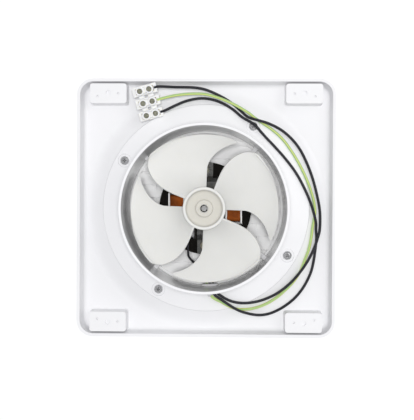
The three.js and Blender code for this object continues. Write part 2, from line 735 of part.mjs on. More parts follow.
// A strap over one face of the stator that carries a bearing; built for the rear.
function bridge() {
  const foot = STATOR_REAR + GAP;
  const top = foot + BRIDGE_RISE;
  const inner = BOLT_CIRCLE - 6;
  const t = BRIDGE_THICK;
  const half = [
    [BRIDGE_REACH, foot],
    [inner, foot],
    [inner - 5.5, top],
  ];
  const outer = [
    [inner - 4.4, top + t + 0.5],
    [inner + 1, foot + t],
    [BRIDGE_REACH, foot + t],
  ];
  const mirror = ([a, b]) => [-a, b];
  const outline = [
    ...half,
    ...half.map(mirror).reverse(),
    ...outer.map(mirror).reverse(),
    ...outer,
  ];
  const strap = upright(outline, -BRIDGE_WIDTH / 2, BRIDGE_WIDTH / 2).rotateZ(90 * DEG);
  const shoulder = BRIDGE_SHOULDER / 2;
  const wide = upright(outline, -shoulder, shoulder).rotateZ(90 * DEG);
  const slope = box(-shoulder - 1, shoulder + 1, HOUSING_RADIUS + 1, inner - 0.4, foot - 1, top + t + 1);
  const front = top - 2;
  const rear = front + HOUSING_LENGTH;
  let made = join(strap, common(wide, slope), cylinder(HOUSING_RADIUS, front, rear, 0, 0, 18));
  made = cut(
    made,
    cylinder(BEARING_RADIUS + GAP, front - 1, rear - 1, 0, 0, 16),
    cylinder(SHAFT_RADIUS + 1.5, front - 1, rear + 1, 0, 0, 12),
    cylinder(BOLT_RADIUS + GAP, foot - 1, foot + t + 1, 0, BOLT_CIRCLE),
    cylinder(BOLT_RADIUS + GAP, foot - 1, foot + t + 1, 0, -BOLT_CIRCLE),
  );
  return { shape: made, front, rear };
}

// The same shape on the front face of the stator: turned over about Y, so both feet keep their bolts.
function turnedOver(shape) {
  return geometryOf(solid(shape))
    .translate(0, 0, -STATOR_MIDDLE)
    .rotateY(180 * DEG)
    .translate(0, 0, STATOR_MIDDLE);
}

function bearing(front) {
  return cut(
    cylinder(BEARING_RADIUS, front, front + BEARING_LENGTH, 0, 0, 16),
    cylinder(SHAFT_RADIUS + GAP, front - 1, front + BEARING_LENGTH + 1, 0, 0, 12),
  );
}

function hexagon(radius, z0, z1, bore) {
  return cut(cylinder(radius, z0, z1, 0, 0, 6), cylinder(bore, z0 - 1, z1 + 1, 0, 0, 12));
}

// ---------------------------------------------------------------- rotor
function rotorCore() {
  return lathe(
    [
      [SHAFT_RADIUS + GAP, STATOR_FRONT - 3.5],
      [ROTOR_RADIUS - 1, STATOR_FRONT - 3.5],
      [ROTOR_RADIUS - 1, STATOR_FRONT - 1],
      [ROTOR_RADIUS, STATOR_FRONT - 1],
      [ROTOR_RADIUS, STATOR_REAR + 1],
      [ROTOR_RADIUS - 1, STATOR_REAR + 1],
      [ROTOR_RADIUS - 1, STATOR_REAR + 3.5],
      [SHAFT_RADIUS + GAP, STATOR_REAR + 3.5],
    ],
    24,
  );
}

// A blade's edges as degrees clockwise from the top at a radius, and how a round tip corner draws in.
function bladeEdges(r) {
  const scale = TIP_RADIUS / 66;
  const s = r / scale;
  const inset = (corner) => {
    const past = Math.max(r - (TIP_RADIUS - corner), 0);
    return (corner - Math.sqrt(Math.max(corner * corner - past * past, 0))) / r / DEG;
  };
  const near = -64.5 + 14.5 * ((s - 34) / 32) ** 2 + inset(6);
  const deep = 2.8 + 26 * (Math.max(s - 36, 0) / 31) ** 1.5 - inset(2.5);
  return [near, deep];
}

// A point of the blade's middle surface, t running from its rear edge to its front edge.
function bladePoint(r, t, turn) {
  const [near, deep] = bladeEdges(r);
  const angle = 90 - (near + (deep - near) * t) + turn;
  const camber = 0.1 * Math.sin(Math.PI * t);
  const z = BLADE_REAR - (BLADE_REAR - BLADE_FRONT) * (t + camber);
  return new THREE.Vector3(...polar(r, angle), z);
}

function blade(turn) {
  const root = HUB_RADIUS - HUB_WALL / 2;
  const shares = [0, 0.06, 0.2, 0.36, 0.52, 0.68, 0.82, 0.905, 0.955, 0.985, 1];
  const chord = 5;
  const rings = shares.map((share) => {
    const r = root + (TIP_RADIUS - root) * share;
    const faces = [[], []];
    for (let j = 0; j <= chord; j++) {
      const t = j / chord;
      const p = bladePoint(r, t, turn);
      const alongChord = bladePoint(r, t + 0.01, turn).sub(bladePoint(r, t - 0.01, turn));
      const outward = new THREE.Vector3(p.x, p.y, 0).normalize();
      const normal = alongChord.cross(outward).normalize();
      const half = (BLADE_THICK / 2) * (0.55 + 0.45 * Math.sin(Math.PI * t) ** 0.5);
      faces[0].push(p.clone().addScaledVector(normal, half));
      faces[1].push(p.clone().addScaledVector(normal, -half));
    }
    return [...faces[0], ...faces[1].reverse()];
  });
  return skin(rings);
}

function impeller() {
  const wall = HUB_RADIUS - HUB_WALL;
  const hub = lathe(
    [
      [wall, HUB_FRONT],
      [HUB_RADIUS - 0.3, HUB_FRONT],
      [HUB_RADIUS, HUB_REAR - 0.6],
      [HUB_RADIUS - 0.6, HUB_REAR],
      [wall, HUB_REAR],
      [wall - 0.6, HUB_WEB + 2],
      [HUB_BOSS, HUB_WEB + 2],
      [HUB_BOSS - 0.2, HUB_WEB + 5],
      [SHAFT_RADIUS + GAP, HUB_WEB + 5],
      [SHAFT_RADIUS + GAP, HUB_WEB - 10],
      [HUB_BOSS - 0.5, HUB_WEB - 10],
      [HUB_BOSS - 0.5, HUB_WEB],
      [wall - 0.6, HUB_WEB],
    ],
    32,
  );
  const blades = Array.from({ length: BLADES }, (_, i) => blade((360 / BLADES) * i));
  return join(hub, ...blades);
}

// ---------------------------------------------------------------- gland and leads
const noseFrame = (n, t, z) => {
  const [nx, ny] = polar(1, NOSE_ANGLE);
  return [n * nx - t * ny, n * ny + t * nx, z];
};

function cableGland() {
  const nose = box(
    NOSE_FACE - NOSE_DEPTH,
    NOSE_FACE,
    NOSE_CENTRE - NOSE_HALF_WIDTH,
    NOSE_CENTRE + NOSE_HALF_WIDTH,
    GLAND_HEIGHT - NOSE_HALF_HEIGHT,
    GLAND_HEIGHT + NOSE_HALF_HEIGHT,
  ).rotateZ(NOSE_ANGLE * DEG);
  const seat = cylinder(SPIGOT_RADIUS + GAP, 0, SPIGOT_REAR, 0, 0, ROUND);
  const neck = box(
    SPIGOT_INNER - GLAND_INNER.thick,
    SPIGOT_RADIUS + 1.8,
    -GLAND_NECK.halfWidth,
    GLAND_NECK.halfWidth,
    GLAND_HEIGHT - GLAND_NECK.halfHeight,
    GLAND_HEIGHT + GLAND_NECK.halfHeight,
  ).rotateZ(GLAND_ANGLE * DEG);
  const inner = box(
    SPIGOT_INNER - GAP - GLAND_INNER.thick,
    SPIGOT_INNER,
    -GLAND_INNER.halfWidth,
    GLAND_INNER.halfWidth,
    GLAND_HEIGHT - GLAND_INNER.halfHeight,
    GLAND_HEIGHT + GLAND_INNER.halfHeight,
  ).rotateZ(GLAND_ANGLE * DEG);
  const bore = cylinder(SPIGOT_INNER - GAP - 0.1, 0, SPIGOT_REAR, 0, 0, ROUND);
  return join(cut(nose, seat), neck, common(inner, bore));
}

// Where a lead leaves the gland: place 1, 0 or -1 across its face.
function nosePoint(place, out) {
  return noseFrame(NOSE_FACE + out, NOSE_CENTRE + place * LEAD_PITCH, GLAND_HEIGHT - 0.5);
}

// Where a lead meets the gland inside the spigot.
function innerPoint(place, out) {
  const [x, y] = polar(SPIGOT_INNER - GAP - GLAND_INNER.thick - out, GLAND_ANGLE);
  const [tx, ty] = polar(place * LEAD_PITCH, GLAND_ANGLE + 90);
  return [x + tx, y + ty, GLAND_HEIGHT];
}

// A point of the terminal block's frame in the fan's frame.
function blockPoint(x, y, z) {
  const turn = new THREE.Euler(...BLOCK_TURN.map((angle) => angle * DEG), "ZYX");
  return new THREE.Vector3(x, y, z).applyEuler(turn).add(new THREE.Vector3(...BLOCK_PLACE)).toArray();
}

const port = (place, x) => blockPoint(x, place * BLOCK_PITCH, PORT_HEIGHT);
const COIL_TAIL = [
  BOBBIN_START + BOBBIN_LENGTH / 2 - 0.2,
  -(BOBBIN_HALF_WIDTH - COIL_INSET + COIL_WIRE + GAP),
  STATOR_REAR + 2,
];
const TAG_END = BRIDGE_REACH + 6;
const TAG_HEIGHT = STATOR_REAR + 4;

// Points chosen by hand along each lead, from the terminal block round the flange to the gland.
const LEAD_ROUTES = {
  lead_black_a: {
    port: 1,
    place: 1,
    points: [
      [-29, 111.4, 28.2],
      [-11, 111.2, 26],
      [-1, 109.6, 24.2],
      [8.5, 106, 22.2],
      [19, 100.6, 20.8],
      [27, 94.8, 20.6],
      [33, 89.4, 20.9],
      [38.6, 84.6, 22.2],
      [43.6, 82.6, 24.4],
      [50, 80.8, 24.4],
      [57, 78.8, 22.8],
      [68.6, 73.6, 18.5],
      [78.8, 65.7, 15.5],
      [87.2, 55.6, 14],
      [94, 42.5, 13.9],
      [99.2, 29, 13.9],
      [103, 15.5, 13.6],
      [106.4, -1, 12.5],
      [106.9, -12, 12.6],
      [106.6, -18, 13.6],
      [105.9, -22.5, 15.4],
      [104.5, -27.5, 15.6],
      [102.8, -33, 15.6],
      [98.9, -42.5, 15.2],
      [92.9, -53, 15.8],
      [87, -61.2, 15.6],
      [80.8, -68.4, 15],
      [73.8, -74.8, 14.4],
      [66, -80.2, 14.8],
      [58.2, -84, 15.8],
      [50.5, -86.6, 17.4],
      [42.8, -88, 19.6],
      [35, -88.3, 21.6],
      [27.5, -87.4, 22.6],
      [19.8, -84.6, 24.2],
    ],
  },
  lead_black_b: {
    port: -1,
    place: 0,
    points: [
      [-28, 95.2, 23.9],
      [-17.5, 99.6, 21.6],
      [-4.8, 102, 19.6],
      [6, 100.8, 19],
      [15.6, 97.2, 19.8],
      [25.2, 91.2, 21],
      [33.2, 84.4, 22.3],
      [39.4, 80.6, 24.8],
      [45.2, 76.8, 26],
      [50.4, 71, 24.8],
      [56, 65, 22.8],
      [62.4, 58.4, 22.2],
      [73.4, 46.2, 22],
      [83.4, 33, 21.6],
      [91, 19.4, 21.3],
      [96.2, 7.8, 20.7],
      [99.4, -1, 19.6],
      [101.4, -8, 18.4],
      [102.7, -14, 17],
      [102.9, -19.5, 14.2],
      [103.6, -27, 12.1],
      [103.2, -34, 11.4],
      [102.4, -41, 10.8],
      [101.4, -48.5, 10.3],
      [99.2, -58.6, 10],
      [95.6, -67.4, 10],
      [90.4, -76.4, 10],
      [83.6, -84.6, 10],
      [75.9, -91, 10],
      [68, -95.9, 10],
      [60.2, -99.2, 10.1],
      [52.4, -100.6, 10.8],
      [44.6, -100, 12.6],
      [38, -98.2, 16],
      [33, -96.2, 20],
      [28.5, -93.9, 22.4],
      [24.4, -91.4, 24],
      [20, -88.4, 24.9],
      [15.6, -85.3, 26],
    ],
  },
  lead_earth: {
    port: 0,
    place: -1,
    points: [
      [-29, 103.9, 26],
      [-14.6, 105.6, 24.4],
      [-1.4, 105.4, 23.9],
      [9, 102.8, 24.2],
      [18, 99.4, 24.4],
      [26.5, 95.6, 24.4],
      [33.2, 91.9, 23.9],
      [40.2, 87.6, 22.3],
      [45.4, 83.6, 21],
      [51.4, 79.6, 20.6],
      [60, 73.8, 20.9],
      [70, 65.2, 20.9],
      [78.5, 54.2, 20.9],
      [86.6, 41, 20.9],
      [93.2, 27.6, 20.4],
      [98.4, 14.4, 17],
      [101.4, 2.6, 15],
      [101.9, -5, 14.8],
      [100.7, -12, 14.9],
      [99.7, -17.5, 15],
      [98.4, -28, 14.5],
      [96, -39.6, 13.8],
      [92.8, -48, 13.4],
      [89, -58.4, 12.5],
      [83, -68, 12.1],
      [74.8, -76.8, 12.2],
      [65, -85, 12.2],
      [54.8, -90.8, 12.8],
      [43.6, -94.2, 14.5],
      [33.2, -94.7, 17.1],
      [28.4, -93.9, 19.2],
      [24.4, -92.6, 20.8],
      [20, -90.4, 21.9],
      [15.4, -87.6, 23.4],
    ],
  },
};
const LEAD_STEPS = 42;

function outerLead({ port: row, place, points }) {
  return wire(
    [
      port(row, BRASS_HALF + GAP),
      port(row, BLOCK_WIDTH / 2 + 1),
      ...points,
      nosePoint(place, 3),
      nosePoint(place, GAP),
    ],
    LEAD_RADIUS,
    LEAD_STEPS,
  );
}

const INNER_ROUTES = {
  coil_lead_right: {
    place: 1,
    points: [
      [10, -61, 29.5],
      [15, -52, 36],
      [18.5, -43.5, 41],
      [20.5, -34, 41.8],
      [21.8, -25, 41.4],
    ],
    end: [...COIL_TAIL],
  },
  coil_lead_left: {
    place: 0,
    points: [
      [1.6, -62, 24.6],
      [-6, -54.5, 26],
      [-12, -48.5, 33],
      [-15, -43.5, 40],
      [-15.5, -36, 41.8],
      [-16.2, -28, 41.6],
      [-21.2, -19.8, 41.3],
    ],
    end: [-COIL_TAIL[0], COIL_TAIL[1], COIL_TAIL[2]],
  },
  earth_lead_inner: {
    place: -1,
    points: [
      [0.9, -64, 28.6],
      [0.6, -59, 34],
      [0.2, -54.2, 40.2],
      [0, -TAG_END - 3, TAG_HEIGHT],
    ],
    end: [0, -TAG_END - GAP, TAG_HEIGHT],
  },
};

function innerLead({ place, points, end }) {
  return wire([innerPoint(place, GAP), innerPoint(place, 3), ...points, end], INNER_LEAD_RADIUS, 12);
}

// A ring tag under the head of the lower motor bolt, with its barrel towards the gland.
function earthTag() {
  const z0 = STATOR_REAR + 2 * GAP + BRIDGE_THICK;
  const plate = join(
    cylinder(4, z0, z0 + TAG_THICK, 0, -BOLT_CIRCLE, 20),
    box(-1.7, 1.7, -TAG_END + 4, -BOLT_CIRCLE - 3, z0, z0 + TAG_THICK),
  );
  const barrel = cylinder(1.7, 0, 5, 0, 0, 12).rotateX(90 * DEG);
  barrel.translate(0, -TAG_END + 5, TAG_HEIGHT);
  return cut(join(plate, barrel), cylinder(BOLT_RADIUS + GAP, z0 - 1, z0 + 2, 0, -BOLT_CIRCLE));
}

// ---------------------------------------------------------------- terminal block
const ROW = [-1, 0, 1];

function blockBody() {
  const half = BLOCK_WIDTH / 2;
  const cellHalf = BLOCK_PITCH / 2 - 1.2;
  const webHalf = BLOCK_PITCH + 1;
  let body = solid(box(-half * 0.62, half * 0.62, -webHalf, webHalf, 0, BLOCK_BASE - 3));
  for (const place of ROW) {
    const y = place * BLOCK_PITCH;
    body = join(body, box(-half, half, y - cellHalf, y + cellHalf, 0, BLOCK_BASE));
    for (const x of [-CHIMNEY_OFFSET, CHIMNEY_OFFSET]) {
      body = join(body, cylinder(CHIMNEY_RADIUS, BLOCK_BASE - 2, BLOCK_HEIGHT, x, y));
    }
  }
  for (const place of ROW) {
    const y = place * BLOCK_PITCH;
    const bore = cylinder(PORT_BORE, -half - 1, half + 1, 0, 0).rotateY(90 * DEG);
    body = cut(body, bore.translate(0, y, PORT_HEIGHT));
    for (const x of [-CHIMNEY_OFFSET, CHIMNEY_OFFSET]) {
      body = cut(body, cylinder(CHIMNEY_BORE, PORT_HEIGHT, BLOCK_HEIGHT + 1, x, y));
    }
  }
  for (const y of [-BLOCK_PITCH / 2, BLOCK_PITCH / 2]) {
    body = cut(body, cylinder(BLOCK_FIXING, -1, BLOCK_BASE, 0, y, 12));
  }
  return body;
}

function brassTube() {
  let tube = cut(
    cylinder(BRASS_RADIUS, -BRASS_HALF, BRASS_HALF).rotateY(90 * DEG),
    cylinder(BRASS_BORE, -BRASS_HALF - 1, BRASS_HALF + 1).rotateY(90 * DEG),
  );
  for (const x of [-CHIMNEY_OFFSET, CHIMNEY_OFFSET]) {
    tube = cut(tube, cylinder(CLAMP_SHANK + GAP, 0, BRASS_RADIUS + 1, x, 0, 12));
  }
  return geometryOf(tube).translate(0, 0, PORT_HEIGHT);
}

function clampScrew() {
  const head = PORT_HEIGHT + BRASS_RADIUS + GAP;
  const body = join(
    cylinder(CLAMP_SHANK, PORT_HEIGHT + 0.5, head + 0.1, 0, 0, 12),
    cylinder(CLAMP_HEAD, head, head + 2.2, 0, 0),
  );
  return cut(body, box(-0.35, 0.35, -3, 3, head + 1.2, head + 3));
}

// ---------------------------------------------------------------- assembly
const materials = {
  tray: plastic(0xf2f3f4, 0.32),
  grille: plastic(0xf4f4f4, 0.35),
  spigot: plastic(0xf0f1f2, 0.34),
  impeller: plastic(0xe5e5e0, 0.38),
  steel: metal(0x9a9ca0, 0.35),
  darkSteel: metal(0x6f7378, 0.35),
  lamination: metal(0x24221f, 0.6),
  copper: metal(0xb0552a, 0.35),
  bobbin: plastic(0xd9d3c4, 0.5),
  strap: metal(0xa8a9a6, 0.4),
  bronze: metal(0x8d7344, 0.5),
  rotor: metal(0x7d7f82, 0.45),
  shaft: metal(0xc9cacc, 0.2),
  rubber: plastic(0x1e1d20, 0.6),
  lead: plastic(0x352f34, 0.45),
  earth: plastic(0x9ccb72, 0.45),
  block: plastic(0xe1e1d7, 0.4),
  brass: metal(0xb79a55, 0.35),
};

const fan = new THREE.Group();
const housing = new THREE.Group();
const motor = new THREE.Group();
const rotor = new THREE.Group();
const leads = new THREE.Group();
const block = new THREE.Group();
fan.add(housing, motor, rotor, leads, block);

housing.add(piece("fascia_tray", fasciaTray(), materials.tray));
housing.add(piece("front_grille", frontGrille(), materials.grille));
housing.add(piece("duct_spigot", ductSpigot(), materials.spigot));
around(FLANGE_SCREW_ANGLES, (angle, i) => {
  const under = FLANGE_BOSS_TOP + GAP;
  const made = screw(
    FLANGE_SHANK_RADIUS,
    under - FLANGE_SHANK_FRONT,
    FLANGE_HEAD_RADIUS,
    FLANGE_HEAD_HEIGHT,
  );
  const mesh = piece(`flange_screw_${i}`, made, materials.darkSteel);
  mesh.position.set(...polar(FLANGE_SCREW_CIRCLE, angle), under);
  housing.add(mesh);
});
housing.add(piece("cable_gland", cableGland(), materials.rubber));

motor.add(piece("stator_core", statorCore(), materials.lamination));
const winding = coil();
console.log(`winding: least gap between its loops ${winding.least.toFixed(2)} mm`);
for (const [side, turn] of [
  ["right", 0],
  ["left", 180],
]) {
  const former = piece(`bobbin_${side}`, bobbin(), materials.bobbin);
  const wound = piece(`coil_${side}`, winding.shape, materials.copper);
  former.rotation.z = turn * DEG;
  wound.rotation.z = turn * DEG;
  motor.add(former, wound);
}
around([0, 90, 180, 270], (angle, i) => {
  motor.add(piece(`shading_ring_${i}`, shadingRing(angle), materials.copper));
});
const strap = bridge();
motor.add(piece("rear_bearing_bridge", strap.shape, materials.strap));
motor.add(piece("front_bearing_bridge", turnedOver(strap.shape), materials.strap));
const rearBearing = bearing(strap.front + 0.1);
motor.add(piece("rear_bearing", rearBearing, materials.bronze));
motor.add(piece("front_bearing", turnedOver(rearBearing), materials.bronze));
around([90, -90], (angle, i) => {
  const y = Math.sin(angle * DEG) * BOLT_CIRCLE;
  const tag = angle < 0 ? TAG_THICK + GAP : 0;
  const under = STATOR_REAR + 2 * GAP + BRIDGE_THICK + tag;
  const nutTop = STATOR_FRONT - 2 * GAP - BRIDGE_THICK;
  const nut = [nutTop - 3, nutTop];
  const bolt = join(
    cylinder(BOLT_RADIUS, nut[0] - 1, under + 0.1),
    cylinder(3.6, under, under + 2.8, 0, 0, 6),
  );
  motor.add(piece(`motor_bolt_${i}`, moved(bolt, 0, y, 0), materials.steel));
  const hex = hexagon(3.6, nut[0], nut[1], BOLT_RADIUS + GAP);
  motor.add(piece(`motor_nut_${i}`, moved(hex, 0, y, 0), materials.steel));
});
around(ARM_ANGLES, (angle, i) => {
  const under = STATOR_REAR + GAP;
  const made = screw(MOTOR_SCREW_RADIUS, under - ARM_FRONT - 2, MOTOR_SCREW_HEAD, 2.5);
  const mesh = piece(`motor_screw_${i}`, made, materials.steel);
  mesh.position.set(...polar(MOTOR_SCREW_CIRCLE, angle), under);
  motor.add(mesh);
});
motor.add(piece("earth_tag", earthTag(), materials.brass));

rotor.add(piece("rotor_core", rotorCore(), materials.rotor));
rotor.add(piece("shaft", cylinder(SHAFT_RADIUS, SHAFT_FRONT, SHAFT_REAR), materials.shaft));
rotor.add(piece("impeller", impeller(), materials.impeller));
const clipFront = HUB_WEB + 5 + GAP;
const clip = hexagon(CLIP_RADIUS, clipFront, clipFront + 1.2, SHAFT_RADIUS + GAP);
rotor.add(piece("impeller_clip", clip, materials.darkSteel));

for (const [name, route] of Object.entries(INNER_ROUTES)) {
  const material = name === "earth_lead_inner" ? materials.earth : materials.lead;
  leads.add(piece(name, innerLead(route), material));
}
for (const [name, route] of Object.entries(LEAD_ROUTES)) {
  const material = name === "lead_earth" ? materials.earth : materials.lead;
  leads.add(piece(name, outerLead(route), material));
}

block.position.set(...BLOCK_PLACE);
block.rotation.set(...BLOCK_TURN.map((angle) => angle * DEG), "ZYX");
block.add(piece("terminal_block", blockBody(), materials.block));
ROW.forEach((place, i) => {
  const tube = piece(`terminal_tube_${i + 1}`, brassTube(), materials.brass);
  tube.position.y = place * BLOCK_PITCH;
  block.add(tube);
  [-CHIMNEY_OFFSET, CHIMNEY_OFFSET].forEach((x, k) => {
    const made = piece(`terminal_screw_${2 * i + k + 1}`, clampScrew(), materials.steel);
    made.position.set(x, place * BLOCK_PITCH, 0);
    block.add(made);
  });
});

export default fan;
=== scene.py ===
"""Looks of the window exhaust fan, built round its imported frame.

The file is laid out as an add-on. Sizes and finishes are properties of the scene, each piece or group of
like pieces has one operator, and a panel in the 3D view's sidebar lists them. Run as a script, it builds
them all. Everything is in metres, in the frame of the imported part: the fan lies on its front face, its duct
side up.
"""

import math
from contextlib import contextmanager

import bmesh
import bpy
from bpy.props import FloatProperty, FloatVectorProperty, IntProperty, PointerProperty
from mathutils import Euler, Matrix, Vector


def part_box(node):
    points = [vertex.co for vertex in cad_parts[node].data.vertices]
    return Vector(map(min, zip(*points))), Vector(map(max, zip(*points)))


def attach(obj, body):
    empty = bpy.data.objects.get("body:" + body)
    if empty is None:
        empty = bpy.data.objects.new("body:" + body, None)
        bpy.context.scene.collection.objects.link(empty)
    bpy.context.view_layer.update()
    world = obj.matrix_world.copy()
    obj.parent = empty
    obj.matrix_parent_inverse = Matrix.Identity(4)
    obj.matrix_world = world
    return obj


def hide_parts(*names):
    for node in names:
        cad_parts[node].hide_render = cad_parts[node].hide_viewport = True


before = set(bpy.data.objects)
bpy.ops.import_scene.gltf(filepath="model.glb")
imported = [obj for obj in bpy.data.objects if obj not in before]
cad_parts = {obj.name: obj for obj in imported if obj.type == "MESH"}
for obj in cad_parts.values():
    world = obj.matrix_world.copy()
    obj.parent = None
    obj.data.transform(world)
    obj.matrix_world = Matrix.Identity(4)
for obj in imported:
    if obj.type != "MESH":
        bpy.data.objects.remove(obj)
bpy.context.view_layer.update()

bl_info = {
    "name": "Window Exhaust Fan",
    "version": (1, 0, 0),
    "blender": (4, 5, 0),
    "location": "View3D > Sidebar > Exhaust Fan",
    "description": "Builds the tray, spigot, motor, impeller, grille and leads of a window exhaust fan",
    "category": "Add Mesh",
}

MM = 0.001
GAP = 0.3 * MM  # between pieces that meet
MERGE = 0.001 * MM  # vertices closer than this are one
HOUSING = "housing"
ROTOR = "rotor"


# ---------------------------------------------------------------- sizes and finishes that a user may change
def number(name, value, description, **limits):
    return FloatProperty(name=name, description=description, default=value, **limits)


def length(name, millimetres, description):
    limits = {"min": 0, "precision": 5, "unit": "LENGTH", "subtype": "DISTANCE"}
    return number(name, millimetres * MM, description, **limits)


def colour(name, value, description):
    return FloatVectorProperty(
        name=name, description=description, default=value, size=3, min=0, max=1, subtype="COLOR"
    )


TRAY_LOW, TRAY_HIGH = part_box("fascia_tray")
SPIGOT_LOW, SPIGOT_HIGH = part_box("duct_spigot")
SHAFT_LOW, SHAFT_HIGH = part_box("shaft")


class FanTraySizes(bpy.types.PropertyGroup):
    size: length("Size", (TRAY_HIGH.x - TRAY_LOW.x) / MM, "Width of the tray across its rear rim")
    depth: length("Depth", (TRAY_HIGH.z - TRAY_LOW.z) / MM, "Height of the rear rim over the front face")
    corner: length("Corner", 15, "Radius of the tray's corners at the rim")
    draft: length("Draft", 3, "How far each side leans in from the rim to the front")
    wall: length("Wall", 2.8, "Thickness of the tray's side walls")
    floor: length("Floor", 8, "Height of the tray's floor over the front face")
    floor_wall: length("Floor wall", 2.8, "Thickness of the floor and of the round seat")
    fillet: length("Fillet", 4, "Radius between the floor and the side walls")
    rise: length("Seat rise", 8, "How far the round seat of the spigot stands over the floor")
    recess: length("Recess", 5.2, "Depth of the recess that holds the grille")


class FanSpigotSizes(bpy.types.PropertyGroup):
    radius: length("Radius", 74.75, "Outside radius of the duct spigot")
    wall: length("Wall", 2.55, "Thickness of the spigot's wall")
    front: length("Front", SPIGOT_LOW.z / MM, "Height of the spigot's front end")
    rear: length("Rear", SPIGOT_HIGH.z / MM, "Height of the spigot's rear rim")
    seat: length("Seat", 16.3, "Height of the flange's underside")
    flange: length("Flange", 21.75, "Width of the flange outside the spigot")
    edge: length("Flange edge", 2.7, "Thickness of the flange at its outer edge")
    root: length("Flange root", 5.2, "Thickness of the flange beside the spigot")
    screw_circle: length("Screw circle", 87.5, "Radius of the circle of the four flange screws")
    screw_head: length("Screw head", 4.15, "Radius of a flange screw's head")


class FanMotorSizes(bpy.types.PropertyGroup):
    front: length("Front", 21, "Height of the stator's front face")
    thick: length("Stack", 18, "Thickness of the stack of laminations")
    radius: length("Radius", 42, "Outside radius of the laminations")
    inner: length("Inner radius", 30, "Inside radius of the stator's yoke")
    bore: length("Bore", 14.2, "Radius of the stator's bore")
    shoe: length("Shoe", 18.1, "Outside radius of the pole shoes")
    rotor: length("Rotor", 13.5, "Radius of the rotor core")
    screw_circle: length("Screw circle", 38.5, "Radius of the circle of the motor screws")
    bolt_circle: length("Bolt circle", 34, "Distance of the two through-bolts from the axis")
    shaft: length("Shaft", 2.5, "Radius of the shaft")
    turns: IntProperty(name="Turns", description="Turns in the outer layer of a winding", default=15, min=4)


class FanImpellerSizes(bpy.types.PropertyGroup):
    blades: IntProperty(name="Blades", description="Number of blades", default=4, min=2, max=8)
    hub: length("Hub", 18.8, "Outside radius of the hub")
    tip: length("Tip", 66, "Radius of the blades' tips")
    front: length("Front", 53.6, "Height of the blades' front edges")
    rear: length("Rear", 74.6, "Height of the blades' rear edges")
    thick: length("Thickness", 2, "Thickness of a blade")


class FanLeadSizes(bpy.types.PropertyGroup):
    diameter: length("Lead", 2.6, "Diameter of a mains lead")
    inner: length("Inner lead", 2, "Diameter of the leads from the windings")
    pitch: length("Block pitch", 11.5, "Distance between the ways of the terminal block")
    base: length("Block base", 9.5, "Height of the block's body")
    height: length("Block height", 15, "Height of the screw chimneys")
    width: length("Block width", 23, "Size of the block along its ways")


class FanFinishes(bpy.types.PropertyGroup):
    tray: colour("Tray", (0.825, 0.825, 0.84), "Cool white of the tray and the spigot")
    grille: colour("Grille", (0.95, 0.95, 0.95), "White of the louvre grille")
    impeller: colour("Impeller", (0.725, 0.725, 0.705), "Ivory grey of the impeller")
    # The hub tone makes the impeller darker and yellower inside its cup and on its boss.
    hub: colour("Hub", (0.60, 0.585, 0.535), "Yellowed tone inside the hub")
    lead: colour("Black lead", (0.020, 0.020, 0.024), "Charcoal of the black leads")
    earth: colour("Earth lead", (0.36, 0.62, 0.26), "Green of the earth lead")
    stripe: colour("Earth stripe", (0.60, 0.63, 0.19), "Yellow stripe of the earth lead")
    copper: colour("Copper", (0.52, 0.13, 0.020), "Enamelled wire of the windings")
    block: colour("Block", (0.86, 0.86, 0.85), "Milky plastic of the terminal block")
    gloss: number("Roughness", 0.30, "Mean roughness of the white plastic", min=0, max=1, subtype="FACTOR")


class FanStage(bpy.types.PropertyGroup):
    backdrop: number("Backdrop", 0.41, "Strength of the white surroundings")
    key: number("Key", 3.0, "Power of the key light", subtype="POWER")
    overhead: number("Overhead", 12.5, "Power of the light over the duct", subtype="POWER")
    lens: number("Lens", 82.56, "Focal length", unit="CAMERA")


GROUPS = {
    "fan_tray": FanTraySizes,
    "fan_spigot": FanSpigotSizes,
    "fan_motor": FanMotorSizes,
    "fan_impeller": FanImpellerSizes,
    "fan_leads": FanLeadSizes,
    "fan_finishes": FanFinishes,
    "fan_stage": FanStage,
}


# ---------------------------------------------------------------- modelling steps
def alone(obj=None):
    """Deselect everything, then select this object and make it the active one."""
    if bpy.context.object and bpy.context.object.mode != "OBJECT":
        bpy.ops.object.mode_set(mode="OBJECT")
    bpy.ops.object.select_all(action="DESELECT")
    if obj:
        obj.select_set(True)
        bpy.context.view_layer.objects.active = obj
    return obj


@contextmanager
def editing(obj):
    """Edit mode on one object, with all of its mesh selected."""
    alone(obj)
    bpy.ops.object.mode_set(mode="EDIT")
    bpy.ops.mesh.select_mode(type="VERT")
    bpy.ops.mesh.select_all(action="SELECT")
    yield
    bpy.ops.object.mode_set(mode="OBJECT")


def pick(obj, test):
    """In edit mode, select the faces whose middle and normal pass the test."""
    bpy.ops.mesh.select_mode(type="FACE")
    bpy.ops.mesh.select_all(action="DESELECT")
    mesh = bmesh.from_edit_mesh(obj.data)
    for face in mesh.faces:
        face.select_set(test(face.calc_center_median(), face.normal))
    bmesh.update_edit_mesh(obj.data)


def shift(x=0.0, y=0.0, z=0.0):
    bpy.ops.transform.translate(value=(x, y, z))


def grow(factor, centre=(0, 0, 0)):
    bpy.ops.transform.resize(value=(factor, factor, 1), center_override=centre)


def close_up():
    """Merge what lies in one place and turn the faces outwards."""
    bpy.ops.mesh.select_all(action="SELECT")
    bpy.ops.mesh.remove_doubles(threshold=MERGE)
    bpy.ops.mesh.normals_make_consistent(inside=False)


def named(name):
    obj = bpy.context.object
    obj.name = obj.data.name = name
    return obj


